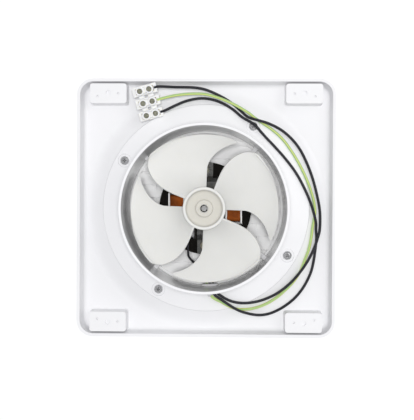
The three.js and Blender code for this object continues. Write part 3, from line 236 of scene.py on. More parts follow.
def draw(name, points, closed=False):
    """A chain of vertices through the points, extruded one by one from a plane merged to a point."""
    alone()
    bpy.ops.mesh.primitive_plane_add(size=MM)
    obj = named(name)
    points = [Vector(p) for p in points]
    if closed:
        points.append(points[0])
    bpy.ops.object.mode_set(mode="EDIT")
    bpy.ops.mesh.select_mode(type="VERT")
    bpy.ops.mesh.select_all(action="SELECT")
    bpy.ops.mesh.merge(type="CENTER")
    shift(*points[0])
    for before, after in zip(points, points[1:]):
        bpy.ops.mesh.extrude_vertices_move(TRANSFORM_OT_translate={"value": after - before})
    bpy.ops.mesh.select_all(action="SELECT")
    bpy.ops.mesh.remove_doubles(threshold=MERGE)
    bpy.ops.object.mode_set(mode="OBJECT")
    return obj


def turned(name, profile, steps, closed=True):
    """A profile of (radius, height) points spun round the upright axis."""
    obj = draw(name, [(r, 0, z) for r, z in profile], closed)
    with editing(obj):
        bpy.ops.mesh.spin(steps=steps, angle=2 * math.pi, center=(0, 0, 0), axis=(0, 0, 1))
        close_up()
    return obj


def prism(name, outline, low, high):
    """An outline of (x, y) points, filled and raised."""
    obj = draw(name, [(x, y, low) for x, y in outline], True)
    with editing(obj):
        bpy.ops.mesh.edge_face_add()
        bpy.ops.mesh.extrude_region_move(TRANSFORM_OT_translate={"value": (0, 0, high - low)})
        close_up()
    return obj


def cylinder(name, radius, low, high, x=0.0, y=0.0, sides=48):
    """A round bar for booleans."""
    alone()
    place = (x, y, (low + high) / 2)
    bpy.ops.mesh.primitive_cone_add(
        vertices=sides, radius1=radius, radius2=radius, depth=high - low, location=place
    )
    return named(name)


def bars(name, angles, circle, radius, low, high, sides):
    """A round bar at each angle on a circle."""
    return [cylinder(name, radius, low, high, *polar(circle, angle), sides) for angle in angles]


def block(name, x0, x1, y0, y1, z0, z1):
    alone()
    bpy.ops.mesh.primitive_cube_add(size=1, location=((x0 + x1) / 2, (y0 + y1) / 2, (z0 + z1) / 2))
    obj = named(name)
    with editing(obj):
        bpy.ops.transform.resize(value=(x1 - x0, y1 - y0, z1 - z0))
    return obj


def apply_places(obj):
    alone(obj)
    bpy.ops.object.transform_apply(location=True, rotation=True, scale=True)
    return obj


def turn(obj, degrees, axis="Z"):
    """Turn an object about an axis through the origin."""
    obj.matrix_world = Matrix.Rotation(math.radians(degrees), 4, axis) @ obj.matrix_world
    return apply_places(obj)


def move(obj, x=0.0, y=0.0, z=0.0):
    obj.matrix_world = Matrix.Translation((x, y, z)) @ obj.matrix_world
    return apply_places(obj)


def twin(obj, name):
    """A copy with a mesh of its own."""
    copy = obj.copy()
    copy.data = obj.data.copy()
    copy.name = copy.data.name = name
    bpy.context.scene.collection.objects.link(copy)
    return copy


def discard(*objects):
    for obj in objects:
        bpy.data.objects.remove(obj)


def joined(pieces):
    """Several objects as one mesh, not merged."""
    alone(pieces[0])
    for piece in pieces:
        piece.select_set(True)
    bpy.ops.object.join()
    return pieces[0]


def modified(obj, kind, **values):
    """Add a modifier with these values and apply it."""
    if not obj.data.polygons:
        raise RuntimeError(f"{obj.name} has no faces")
    alone(obj)
    bpy.ops.object.modifier_add(type=kind)
    modifier = obj.modifiers[-1]
    for key, value in values.items():
        setattr(modifier, key, value)
    bpy.ops.object.modifier_apply(modifier=modifier.name)
    return obj


def combined(obj, tools, operation="DIFFERENCE"):
    """Cut the tools from the object, or unite it with them; the tools are used up."""
    for tool in tools:
        if not tool.data.polygons:
            raise RuntimeError(f"{tool.name} has no faces to combine with {obj.name}")
        modified(obj, "BOOLEAN", operation=operation, solver="MANIFOLD", object=tool)
        discard(tool)
    return obj


def cut(obj, *tools):
    return combined(obj, tools)


def unite(obj, *tools):
    return combined(obj, tools, "UNION")


def softened(obj, width, segments=2, degrees=35):
    return modified(
        obj,
        "BEVEL",
        width=width,
        segments=segments,
        limit_method="ANGLE",
        angle_limit=math.radians(degrees),
        harden_normals=False,
        use_clamp_overlap=True,
    )


def rounded(points, radii, steps=5):
    """A closed outline with its corners rounded; a radius for all of them, or one for each."""
    if not hasattr(radii, "__len__"):
        radii = [radii] * len(points)
    out = []
    for i, radius in enumerate(radii):
        before, here, after = (Vector(points[(i + k) % len(points)]) for k in (-1, 0, 1))
        if radius <= 0:
            out.append(tuple(here))
            continue
        a, b = (before - here).normalized(), (after - here).normalized()
        half = a.angle(b) / 2
        reach = min(radius / math.tan(half), 0.49 * (before - here).length, 0.49 * (after - here).length)
        radius = reach * math.tan(half)
        centre = here + (a + b).normalized() * (radius / math.sin(half))
        start, end = here + a * reach - centre, here + b * reach - centre
        sweep = start.angle_signed(end)
        for k in range(steps + 1):
            angle = -sweep * k / steps
            c, s = math.cos(angle), math.sin(angle)
            out.append((centre.x + start.x * c - start.y * s, centre.y + start.x * s + start.y * c))
    return out


def profiled(section, steps=5):
    """An outline from ((radius, height), corner radius in millimetres) pairs."""
    return rounded([point for point, corner in section], [corner * MM for point, corner in section], steps)


def through(points, steps):
    """Points of a smooth curve through the given ones."""
    p = [Vector(q) for q in points]
    p = [2 * p[0] - p[1], *p, 2 * p[-1] - p[-2]]
    out = []
    for a, b, c, d in zip(p, p[1:], p[2:], p[3:]):
        ta, tb, tc = ((v - u).length ** 0.5 for u, v in ((a, b), (b, c), (c, d)))
        m1 = ((b - a) / ta - (c - a) / (ta + tb) + (c - b) / tb) * tb
        m2 = ((c - b) / tb - (d - b) / (tb + tc) + (d - c) / tc) * tb
        for i in range(steps):
            t = i / steps
            out.append(
                b * (2 * t**3 - 3 * t**2 + 1)
                + m1 * (t**3 - 2 * t**2 + t)
                + c * (3 * t**2 - 2 * t**3)
                + m2 * (t**3 - t**2)
            )
    out.append(p[-2])
    return out


def polar(radius, degrees):
    return radius * math.cos(math.radians(degrees)), radius * math.sin(math.radians(degrees))


def tube(name, path, radius, sides=6):
    """A round lead along a path, with its own UV map: across the lead and along it."""
    line = bpy.data.curves.new(name, "CURVE")
    line.dimensions = "3D"
    line.bevel_depth = radius
    line.bevel_resolution = sides
    line.use_fill_caps = True
    spline = line.splines.new("POLY")
    spline.points.add(len(path) - 1)
    for point, place in zip(spline.points, path):
        point.co = (*place, 1)
    obj = bpy.data.objects.new(name, line)
    bpy.context.scene.collection.objects.link(obj)
    alone(obj)
    bpy.ops.object.convert(target="MESH")
    obj = named(name)
    with editing(obj):
        close_up()
    return obj


def split(obj, xs=(0,), ys=(0,)):
    """Cut the faces along upright planes, so that no flat face is left with a hole inside it."""
    with editing(obj):
        for axis, places in enumerate((xs, ys)):
            for place in places:
                point, normal = [0, 0, 0], [0, 0, 0]
                point[axis], normal[axis] = place, 1
                bpy.ops.mesh.select_all(action="SELECT")
                bpy.ops.mesh.bisect(plane_co=point, plane_no=normal)
    return obj


def mark_edges(obj, degrees=18):
    """Give each vertex an attribute that is 1 where the surface bends outwards, for wear."""
    mesh = bmesh.new()
    mesh.from_mesh(obj.data)
    mesh.normal_update()
    limit = math.radians(degrees)
    values = [0.0] * len(mesh.verts)
    for edge in mesh.edges:
        if len(edge.link_faces) == 2 and edge.is_convex and edge.calc_face_angle() > limit:
            for vertex in edge.verts:
                values[vertex.index] = 1.0
    mesh.free()
    attribute = obj.data.attributes.get("worn") or obj.data.attributes.new("worn", "FLOAT", "POINT")
    attribute.data.foreach_set("value", values)


def fit(obj, node_name, slot, body=HOUSING, smooth=35):
    """Finish a piece: shading, wear, material, and the frame's node that it takes the place of."""
    if not obj.data.polygons:
        raise RuntimeError(f"{obj.name} has no faces")
    apply_places(obj)
    mark_edges(obj)
    alone(obj)
    bpy.ops.object.shade_smooth_by_angle(angle=math.radians(smooth))
    modified(obj, "WEIGHTED_NORMAL", keep_sharp=True)
    obj.data.materials.clear()
    obj.data.materials.append(material(slot))
    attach(obj, body)
    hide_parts(node_name)


# ---------------------------------------------------------------- finishes
def socketed(name, inputs, outputs):
    """A new node group that takes a position and these numbers, with its input and output nodes."""
    tree = bpy.data.node_groups.new(name, "ShaderNodeTree")
    tree.interface.new_socket(name="Position", in_out="INPUT", socket_type="NodeSocketVector")
    for label, value in inputs.items():
        made = tree.interface.new_socket(name=label, in_out="INPUT", socket_type="NodeSocketFloat")
        made.default_value = value
    for label in outputs:
        tree.interface.new_socket(name=label, in_out="OUTPUT", socket_type="NodeSocketFloat")
    return tree, tree.nodes.new("NodeGroupInput"), tree.nodes.new("NodeGroupOutput")


def node(tree, kind, links=(), **values):
    """A node with its properties set and its named or numbered inputs linked or given values."""
    made = tree.nodes.new("ShaderNode" + kind)
    for key, value in values.items():
        setattr(made, key, value)
    for key, value in dict(links).items():
        if isinstance(value, bpy.types.NodeSocket):
            tree.links.new(value, made.inputs[key])
        else:
            made.inputs[key].default_value = value
    return made


def maths(tree, operation, *values):
    return node(tree, "Math", dict(enumerate(values)), operation=operation).outputs[0]


def noise(tree, place, scale, detail):
    return node(tree, "TexNoise", {"Vector": place, "Scale": scale, "Detail": detail}).outputs[0]


def stretched(tree, place, stretch):
    """Fine lines: a noise drawn out along some axes."""
    made = node(tree, "Mapping", {"Vector": place, "Scale": stretch})
    return noise(tree, made.outputs[0], 120.0, 3.0)


def stepped(tree, value, start, end):
    """0 to 1 between the two limits, eased at both ends."""
    values = {0: value, 1: start, 2: end, 3: 0.0, 4: 1.0}
    return node(tree, "MapRange", values, interpolation_type="SMOOTHSTEP").outputs[0]


def mould_grain():
    """Slow clouding, an uneven gloss and a fine pebbled height, as on moulded plastic."""
    inputs = {"Cloud Scale": 18.0, "Grain Scale": 900.0}
    tree, source, sink = socketed("mould_grain", inputs, ["Cloud", "Gloss", "Height"])
    place = source.outputs["Position"]
    clouds = source.outputs["Cloud Scale"]
    grain = noise(tree, place, source.outputs["Grain Scale"], 2.0)
    peel = noise(tree, place, 240.0, 1.0)
    tree.links.new(noise(tree, place, clouds, 3.0), sink.inputs["Cloud"])
    tree.links.new(noise(tree, place, maths(tree, "MULTIPLY", clouds, 7.0), 4.0), sink.inputs["Gloss"])
    tree.links.new(maths(tree, "MULTIPLY_ADD", grain, 0.35, peel), sink.inputs["Height"])
    return tree


def edge_wear():
    """A mask on worn edges and in fine scuffs, from the piece's own edge attribute."""
    tree, source, sink = socketed("edge_wear", {"Scale": 500.0, "Reach": 0.5}, ["Mask", "Scuffs"])
    place = source.outputs["Position"]
    edge = node(tree, "Attribute", attribute_name="worn", attribute_type="GEOMETRY")
    patches = stepped(tree, noise(tree, place, source.outputs["Scale"], 4.0), 0.62, 0.38)
    reached = maths(tree, "MULTIPLY", edge.outputs["Fac"], source.outputs["Reach"])
    scuffs = stepped(tree, stretched(tree, place, (1.0, 14.0, 3.0)), 0.60, 0.72)
    tree.links.new(maths(tree, "MULTIPLY", patches, reached), sink.inputs["Mask"])
    tree.links.new(scuffs, sink.inputs["Scuffs"])
    return tree


def shared(builder):
    """The node group that a builder makes, made once."""
    return bpy.data.node_groups.get(builder.__name__) or builder()


def mixed(tree, factor, a, b):
    """A colour between two others."""
    a, b = (c if isinstance(c, bpy.types.NodeSocket) else (*c, 1) for c in (a, b))
    return node(tree, "Mix", {0: factor, 6: a, 7: b}, data_type="RGBA").outputs[2]


def ranged(tree, value, low, high, start=0.3, end=0.7):
    return node(tree, "MapRange", {0: value, 1: start, 2: end, 3: low, 4: high}).outputs[0]


def grouped(tree, builder, place, **values):
    made = tree.nodes.new("ShaderNodeGroup")
    made.node_tree = shared(builder)
    tree.links.new(place, made.inputs["Position"])
    for key, value in values.items():
        made.inputs[key.replace("_", " ")].default_value = value
    return made


def started(name, base, shade, cloud, grain):
    """A new material, its node tree and shader, and the place, noises and clouded tone to work with."""
    mat = bpy.data.materials.new(name)
    mat.use_nodes = True
    tree = mat.node_tree
    place = node(tree, "TexCoord").outputs["Object"]
    surface = grouped(tree, mould_grain, place, Cloud_Scale=cloud, Grain_Scale=grain).outputs
    tone = mixed(tree, ranged(tree, surface["Cloud"], 0.0, 1.0), base, shade)
    return mat, tree, tree.nodes["Principled BSDF"], place, surface, tone


def bumped(tree, shader, height, strength, distance=0.1 * MM):
    made = node(tree, "Bump", {"Height": height, "Strength": strength, "Distance": distance})
    tree.links.new(made.outputs[0], shader.inputs["Normal"])


def coloured(tree, shader, mask, tone, other):
    tree.links.new(mixed(tree, mask, tone, other), shader.inputs["Base Color"])


def glossed(tree, shader, gloss, low, high, scuffs=None, scuffing=0.0):
    """Link a roughness that wanders between two values, raised a little in the scuffs."""
    rough = ranged(tree, gloss, low, high)
    if scuffs:
        rough = maths(tree, "MULTIPLY_ADD", scuffs, scuffing, rough)
    tree.links.new(rough, shader.inputs["Roughness"])


def dialled(shader, **values):
    """Set the shader's own sockets, named with an underscore for each space."""
    for key, value in values.items():
        shader.inputs[key.replace("_", " ")].default_value = value


def plastic(
    name, base, shade, rough, grain=900.0, bump=0.05, depth=0.0, coat=0.0, cloud=18.0, wear=0.15, shine=0.5,
    middle=None,
):
    """Moulded plastic: a colour that clouds into its shade, uneven gloss, pebbled grain, rubbed edges."""
    mat, tree, shader, place, surface, tone = started(name, base, shade, cloud, grain)
    worn = grouped(tree, edge_wear, place, Reach=wear).outputs
    if middle:
        # A darker, yellower tone over the hub's cup, round the shaft and inside its rim.
        flat = node(tree, "VectorMath", {0: place, 1: (1, 1, 0)}, operation="MULTIPLY")
        radius = node(tree, "VectorMath", {0: flat.outputs[0]}, operation="LENGTH").outputs["Value"]
        tone = mixed(tree, ranged(tree, radius, 1.0, 0.0, 15.4 * MM, 16.8 * MM), tone, middle)
    coloured(tree, shader, worn["Mask"], tone, [min(1, c * 1.06 + 0.01) for c in base])
    glossed(tree, shader, surface["Gloss"], rough * 0.93, rough * 1.08, worn["Scuffs"], 0.1 * wear)
    bumped(tree, shader, surface["Height"], bump)
    dialled(shader, Specular_IOR_Level=shine, Coat_Weight=coat, Coat_Roughness=0.08)
    if depth:
        reach = (1.0, 0.95, 0.8)
        dialled(shader, Subsurface_Weight=depth, Subsurface_Radius=reach, Subsurface_Scale=2 * MM)
    return mat


def metal(name, base, shade, rough, grain=700.0, bump=0.08, wear=0.7, brushed=0.0, metallic=1.0):
    """Plated or bare metal: cloudy tone, brushed or pebbled height, edges rubbed bright."""
    mat, tree, shader, place, surface, tone = started(name, base, shade, 90.0, grain)
    worn = grouped(tree, edge_wear, place, Reach=wear, Scale=900.0).outputs
    coloured(tree, shader, worn["Mask"], tone, [min(1, c * 1.5 + 0.06) for c in base])
    glossed(tree, shader, surface["Gloss"], rough * 0.75, rough * 1.3, worn["Scuffs"], 0.12)
    dialled(shader, Metallic=metallic)
    height = surface["Height"]
    if brushed:
        lines = stretched(tree, place, (1.0, 40.0, 40.0))
        height = maths(tree, "MULTIPLY_ADD", lines, brushed, height)
    bumped(tree, shader, height, bump)
    return mat


def laminated(name, base, shade, rough):
    """Varnished sheets stacked along the axis, with fine dark seams between them."""
    mat, tree, shader, place, surface, tone = started(name, base, shade, 60.0, 1100.0)
    worn = grouped(tree, edge_wear, place, Reach=0.5, Scale=700.0).outputs
    wave = {"Vector": place, "Scale": 314.0, "Distortion": 0.6, "Detail": 2.0, "Detail Scale": 3.0}
    sheets = node(tree, "TexWave", wave, wave_type="BANDS", bands_direction="Z").outputs["Fac"]
    seam = ranged(tree, sheets, 0.75, 0.0, 0.0, 0.35)
    dark = mixed(tree, seam, tone, [c * 0.25 for c in base])
    coloured(tree, shader, worn["Mask"], dark, [min(1, c * 3 + 0.03) for c in base])
    glossed(tree, shader, surface["Gloss"], rough * 0.8, rough * 1.3)
    dialled(shader, Specular_IOR_Level=0.12)
    bumped(tree, shader, maths(tree, "MULTIPLY_ADD", sheets, 0.6, surface["Height"]), 0.5, 0.15 * MM)
    return mat


def striped(name, base, shade, stripe, rough):
    """Lead insulation with a stripe that winds slowly round it, on the lead's own UV map."""
    mat, tree, shader, place, surface, tone = started(name, base, shade, 60.0, 1500.0)
    along = node(tree, "UVMap", uv_map="UVMap")
    parts = node(tree, "SeparateXYZ", {0: along.outputs[0]}).outputs
    wound = maths(tree, "MULTIPLY_ADD", parts[1], 4.0, parts[0])
    wave = maths(tree, "SINE", maths(tree, "MULTIPLY", wound, 2 * math.pi))
    ragged = maths(tree, "MULTIPLY_ADD", surface["Gloss"], 0.3, wave)
    coloured(tree, shader, ranged(tree, ragged, 0.0, 1.0, 0.10, 0.30), tone, stripe)
    glossed(tree, shader, surface["Gloss"], rough * 0.8, rough * 1.25)
    bumped(tree, shader, surface["Height"], 0.08)
    return mat


def darker(value, by):
    return [c * by for c in value]


def material(finish):
    """The finish of this name, built once."""
    name = "fan_" + finish
    made = bpy.data.materials.get(name)
    if made:
        return made
    look = bpy.context.scene.fan_finishes
    rough = look.gloss
    white, ivory, milk = (list(c) for c in (look.tray, look.impeller, look.block))
    copper, black, green = (list(c) for c in (look.copper, look.lead, look.earth))
    recipes = {
        "tray_plastic": lambda: plastic(name, white, darker(white, 0.975), rough, bump=0.02, wear=0.0),
        "grille_plastic": lambda: plastic(
            name, list(look.grille), darker(look.grille, 0.985), rough, wear=0.0
        ),
        "spigot_plastic": lambda: plastic(
            name, white, darker(white, 0.98), rough * 0.75, bump=0.03, coat=0.25, wear=0.0
        ),
        "impeller_plastic": lambda: plastic(
            name, ivory, darker(ivory, 0.96), rough * 1.1, depth=0.25, cloud=30.0, middle=list(look.hub)
        ),
        "dark_steel": lambda: metal(name, (0.86, 0.86, 0.87), (0.68, 0.68, 0.69), 0.26),
        "spring_steel": lambda: metal(name, (0.78, 0.78, 0.76), (0.62, 0.62, 0.60), 0.38),
        "lamination_steel": lambda: laminated(name, (0.013, 0.012, 0.010), (0.020, 0.018, 0.015), 0.55),
        "copper_winding": lambda: metal(
            name, copper, darker(copper, 0.4), 0.34, bump=0.12, wear=0.0, metallic=0.55
        ),
        "copper_bar": lambda: metal(name, (0.70, 0.34, 0.20), (0.45, 0.2, 0.11), 0.33, brushed=0.4),
        "bobbin_plastic": lambda: plastic(name, (0.88, 0.88, 0.86), (0.84, 0.83, 0.80), 0.45, depth=0.3),
        "strap_steel": lambda: metal(
            name, (0.30, 0.30, 0.29), (0.20, 0.20, 0.195), 0.48, brushed=0.5, bump=0.15
        ),
        "bearing_bronze": lambda: metal(
            name, (0.45, 0.32, 0.14), (0.28, 0.19, 0.08), 0.5, grain=1800.0, bump=0.25
        ),
        "rotor_metal": lambda: metal(name, (0.30, 0.30, 0.30), (0.2, 0.2, 0.2), 0.42, brushed=0.5),
        "shaft_steel": lambda: metal(
            name, (0.84, 0.84, 0.83), (0.70, 0.70, 0.69), 0.3, brushed=0.2, bump=0.04
        ),
        "lead_black": lambda: plastic(
            name, black, [c * 1.5 for c in black], 0.36, grain=1500.0, bump=0.08, cloud=60.0, shine=0.3
        ),
        "lead_earth": lambda: striped(name, green, darker(green, 0.85), list(look.stripe), 0.34),
        "gland_rubber": lambda: plastic(name, (0.60, 0.60, 0.61), (0.54, 0.54, 0.55), 0.55, bump=0.15),
        "block_plastic": lambda: plastic(name, milk, darker(milk, 0.95), 0.32, depth=0.5, cloud=60.0),
        "brass": lambda: metal(name, (0.56, 0.50, 0.38), (0.42, 0.37, 0.27), 0.3),
        "screw_steel": lambda: metal(name, (0.60, 0.60, 0.48), (0.40, 0.40, 0.30), 0.35, brushed=0.2),
        "floor_paper": lambda: plastic(
            name, (0.985, 0.985, 0.985), (0.975, 0.975, 0.98), 0.8, cloud=3.0, wear=0.0
        ),
    }
    return recipes[finish]()


# ---------------------------------------------------------------- stage
CAMERA_PLACE = (25.18 * MM, 8.10 * MM, 904 * MM)
CAMERA_TURN = (-0.01134, 0.02726, 0.00489)  # from straight down, in radians
FLOOR_SIZE = 6


class FAN_OT_camera(bpy.types.Operator):
    """Set up the camera where the photograph was taken, nearly square over the duct"""

    bl_idname = "fan.camera"
    bl_label = "Camera"

    def execute(self, context):
        data = bpy.data.cameras.new("camera")
        data.lens = context.scene.fan_stage.lens
        data.sensor_width = 36
        data.sensor_fit = "HORIZONTAL"
        data.clip_start = 0.01
        camera = bpy.data.objects.new("camera", data)
        camera.location = CAMERA_PLACE
        camera.rotation_mode = "ZYX"
        camera.rotation_euler = CAMERA_TURN
        context.scene.collection.objects.link(camera)
        context.scene.camera = camera
        return {"FINISHED"}


class FAN_OT_stage(bpy.types.Operator):
    """Lay the pale floor and set the soft studio lights"""

    bl_idname = "fan.stage"
    bl_label = "Stage"

    def execute(self, context):
        scene = context.scene
        scene.view_settings.view_transform = "Standard"
        alone()
        bpy.ops.mesh.primitive_plane_add(size=FLOOR_SIZE)
        floor = named("floor")
        with editing(floor):
            bpy.ops.mesh.subdivide(number_cuts=8)
        floor.data.materials.append(material("floor_paper"))
        world = bpy.data.worlds.new("surroundings")
        world.use_nodes = True
        sky = world.node_tree.nodes["Background"]
        sky.inputs["Color"].default_value = (0.98, 0.985, 1.0, 1)
        sky.inputs["Strength"].default_value = scene.fan_stage.backdrop
        scene.world = world
        for name, place, size, power, tint, glossy in (
            ("key", (0.75, 0.35, 1.30), 0.8, scene.fan_stage.key, (1.0, 0.99, 0.975), True),
            ("overhead", (0.04, 0.013, 1.40), 0.2, scene.fan_stage.overhead, (1.0, 1.0, 1.0), False),
        ):
            lamp = bpy.data.lights.new(name, "AREA")
            lamp.size = size
            lamp.energy = power
            lamp.color = tint
            light = bpy.data.objects.new(name, lamp)
            light.location = place
            light.rotation_euler = (-Vector(place)).to_track_quat("-Z", "Y").to_euler()
            light.visible_glossy = glossy
            scene.collection.objects.link(light)
        return {"FINISHED"}


# ---------------------------------------------------------------- leads and terminal block
BLOCK_PLACE = Vector((-54, 98.2, 22.05)) * MM
BLOCK_TURN = Euler([math.radians(a) for a in (7.5, 0, 15.1)], "XYZ")
NOSE_ANGLE = -50.3
NOSE_FACE = 65.5 * MM
NOSE_CENTRE = -44.4 * MM
LEAD_PITCH = 3 * MM
LEAD_START = 3 * MM  # straight out of the gland
GLAND_HEIGHT = 27.5 * MM
LEAD_HEIGHT = GLAND_HEIGHT - 0.5 * MM  # of the leads in its nose
GLAND_ANGLE = -86.5
PORT_HEIGHT = 5.5 * MM
BRASS_HALF = 8.5 * MM


def block_point(x, y, z):
    """A point of the terminal block's own frame, in the fan's frame."""
    return BLOCK_PLACE + BLOCK_TURN.to_matrix() @ Vector((x, y, z))


def nose_point(place, out):
    """A point in front of the gland's nose: place 1, 0 or -1 across its face."""
    n, t = NOSE_FACE + out, NOSE_CENTRE + place * LEAD_PITCH
    nx, ny = polar(1, NOSE_ANGLE)
    return Vector((n * nx - t * ny, n * ny + t * nx, LEAD_HEIGHT))


# For each lead: its way of the block, its place at the gland, and the same points as in the part's source,
# from the terminal block round the flange to the gland.
LEAD_ROUTES = {
    "lead_black_a": (1, 1, [
        (-0.0290, 0.1114, 0.0282), (-0.0110, 0.1112, 0.0260), (-0.0010, 0.1096, 0.0242),
        (0.0085, 0.1060, 0.0222), (0.0190, 0.1006, 0.0208), (0.0270, 0.0948, 0.0206),
        (0.0330, 0.0894, 0.0209), (0.0386, 0.0846, 0.0222), (0.0436, 0.0826, 0.0244),
        (0.0500, 0.0808, 0.0244), (0.0570, 0.0788, 0.0228), (0.0686, 0.0736, 0.0185),
        (0.0788, 0.0657, 0.0155), (0.0872, 0.0556, 0.0140), (0.0940, 0.0425, 0.0139),
        (0.0992, 0.0290, 0.0139), (0.1030, 0.0155, 0.0136), (0.1064, -0.0010, 0.0125),
        (0.1069, -0.0120, 0.0126), (0.1066, -0.0180, 0.0136), (0.1059, -0.0225, 0.0154),
        (0.1045, -0.0275, 0.0156), (0.1028, -0.0330, 0.0156), (0.0989, -0.0425, 0.0152),
        (0.0929, -0.0530, 0.0158), (0.0870, -0.0612, 0.0156), (0.0808, -0.0684, 0.0150),
        (0.0738, -0.0748, 0.0144), (0.0660, -0.0802, 0.0148), (0.0582, -0.0840, 0.0158),
        (0.0505, -0.0866, 0.0174), (0.0428, -0.0880, 0.0196), (0.0350, -0.0883, 0.0216),
        (0.0275, -0.0874, 0.0226), (0.0198, -0.0846, 0.0242),
    ]),
    "lead_black_b": (-1, 0, [
        (-0.0280, 0.0952, 0.0239), (-0.0175, 0.0996, 0.0216), (-0.0048, 0.1020, 0.0196),
        (0.0060, 0.1008, 0.0190), (0.0156, 0.0972, 0.0198), (0.0252, 0.0912, 0.0210),
        (0.0332, 0.0844, 0.0223), (0.0394, 0.0806, 0.0248), (0.0452, 0.0768, 0.0260),
        (0.0504, 0.0710, 0.0248), (0.0560, 0.0650, 0.0228), (0.0624, 0.0584, 0.0222),
        (0.0734, 0.0462, 0.0220), (0.0834, 0.0330, 0.0216), (0.0910, 0.0194, 0.0213),
        (0.0962, 0.0078, 0.0207), (0.0994, -0.0010, 0.0196), (0.1014, -0.0080, 0.0184),
        (0.1027, -0.0140, 0.0170), (0.1029, -0.0195, 0.0142), (0.1036, -0.0270, 0.0121),
        (0.1032, -0.0340, 0.0114), (0.1024, -0.0410, 0.0108), (0.1014, -0.0485, 0.0103),
        (0.0992, -0.0586, 0.0100), (0.0956, -0.0674, 0.0100), (0.0904, -0.0764, 0.0100),
        (0.0836, -0.0846, 0.0100), (0.0759, -0.0910, 0.0100), (0.0680, -0.0959, 0.0100),
        (0.0602, -0.0992, 0.0101), (0.0524, -0.1006, 0.0108), (0.0446, -0.1000, 0.0126),
        (0.0380, -0.0982, 0.0160), (0.0330, -0.0962, 0.0200), (0.0285, -0.0939, 0.0224),
        (0.0244, -0.0914, 0.0240), (0.0200, -0.0884, 0.0249), (0.0156, -0.0853, 0.0260),
    ]),
    "lead_earth": (0, -1, [
        (-0.0290, 0.1039, 0.0260), (-0.0146, 0.1056, 0.0244), (-0.0014, 0.1054, 0.0239),
        (0.0090, 0.1028, 0.0242), (0.0180, 0.0994, 0.0244), (0.0265, 0.0956, 0.0244),
        (0.0332, 0.0919, 0.0239), (0.0402, 0.0876, 0.0223), (0.0454, 0.0836, 0.0210),
        (0.0514, 0.0796, 0.0206), (0.0600, 0.0738, 0.0209), (0.0700, 0.0652, 0.0209),
        (0.0785, 0.0542, 0.0209), (0.0866, 0.0410, 0.0209), (0.0932, 0.0276, 0.0204),
        (0.0984, 0.0144, 0.0170), (0.1014, 0.0026, 0.0150), (0.1019, -0.0050, 0.0148),
        (0.1007, -0.0120, 0.0149), (0.0997, -0.0175, 0.0150), (0.0984, -0.0280, 0.0145),
        (0.0960, -0.0396, 0.0138), (0.0928, -0.0480, 0.0134), (0.0890, -0.0584, 0.0125),
        (0.0830, -0.0680, 0.0121), (0.0748, -0.0768, 0.0122), (0.0650, -0.0850, 0.0122),
        (0.0548, -0.0908, 0.0128), (0.0436, -0.0942, 0.0145), (0.0332, -0.0947, 0.0171),
        (0.0284, -0.0939, 0.0192), (0.0244, -0.0926, 0.0208), (0.0200, -0.0904, 0.0219),
        (0.0154, -0.0876, 0.0234),
    ]),
}
BLOCK_PIECES = ["block_body", *(f"brass_tube_{i}" for i in (1, 2, 3))]
BLOCK_PIECES += [f"clamp_screw_{i}" for i in range(1, 7)]


class FAN_OT_leads(bpy.types.Operator):
    """Run the two black leads and the earth lead from the gland round the flange to the terminal block"""

    bl_idname = "fan.leads"
    bl_label = "Leads"

    def execute(self, context):
        size = context.scene.fan_leads
        for name, (way, place, route) in LEAD_ROUTES.items():
            row = way * size.pitch
            points = [
                block_point(BRASS_HALF + GAP, row, PORT_HEIGHT),
                block_point(size.width / 2 + MM, row, PORT_HEIGHT),
                *(Vector(p) for p in route),
                nose_point(place, LEAD_START),
                nose_point(place, GAP),
            ]
            path = through(points[::-1], 5)
            lead = tube(name + "_run", path, size.diameter / 2)
            slot = "lead_earth" if name == "lead_earth" else "lead_black"
            fit(lead, name, slot, smooth=60)
        return {"FINISHED"}


# ---------------------------------------------------------------- tray and grille
def extrude(z):
    bpy.ops.mesh.extrude_region_move(TRANSFORM_OT_translate={"value": (0, 0, z)})


def inset(thickness, z=0.0):
    bpy.ops.mesh.inset(thickness=thickness)
    if z:
        shift(z=z)


def rounded_square(name, size, corner, z, segments=12):
    """A plane with round corners, as the first face of a square piece."""
    alone()
    bpy.ops.mesh.primitive_plane_add(size=size, location=(0, 0, z))
    obj = apply_places(named(name))
    with editing(obj):
        bpy.ops.mesh.bevel(offset=corner, segments=segments, affect="VERTICES")
    return obj


def rectangle(x0, x1, y0, y1, radius, steps=5):
    return rounded([(x0, y0), (x1, y0), (x1, y1), (x0, y1)], radius, steps)


def upright(name, outline, y0, y1):
    """An outline of (x, z) points between two Y values."""
    return turn(prism(name, outline, -y1, -y0), 90, "X")


def across(name, outline, x0, x1):
    """An outline of (y, z) points between two X values."""
    return turn(turn(prism(name, outline, x0, x1), 90, "X"), 90)


FLANGE_SCREW_ANGLES = (150, 60, -30, -120)
FLANGE_BOSS = 5.1 * MM  # the seat of a flange screw, over the flange's underside
FLANGE_TIP = 8 * MM  # height of the tips of the flange screws
SCREW_BORE = 1.8 * MM
ARM_ANGLES = (140, 50, -40, -130)
LIP = 1.2 * MM  # height of the slope along the tray's front edge
SEAT_SPREAD = 17.5 * MM  # how far the round seat runs out past the flange
SEAT_SHOULDER = 6.5 * MM  # how far inside the flange it begins to fall
PAD_SPAN_X = (12 * MM, 46 * MM)  # distances from the rim line
PAD_SPAN_Y = (4.7 * MM, 23 * MM)
PAD_WALL = 2.6 * MM
PAD_LEAN = 0.9 * MM  # how far a pad's sides lean out to its foot
PAD_FLOOR = 0.2 * MM  # left closed under its holes
# In millimetres: the distances of each hole from the two rim lines, and its radius.
PAD_HOLES = ((29, 13.7, 2.45), (38.2, 14.2, 1.15), (19.3, 16.7, 1.15))


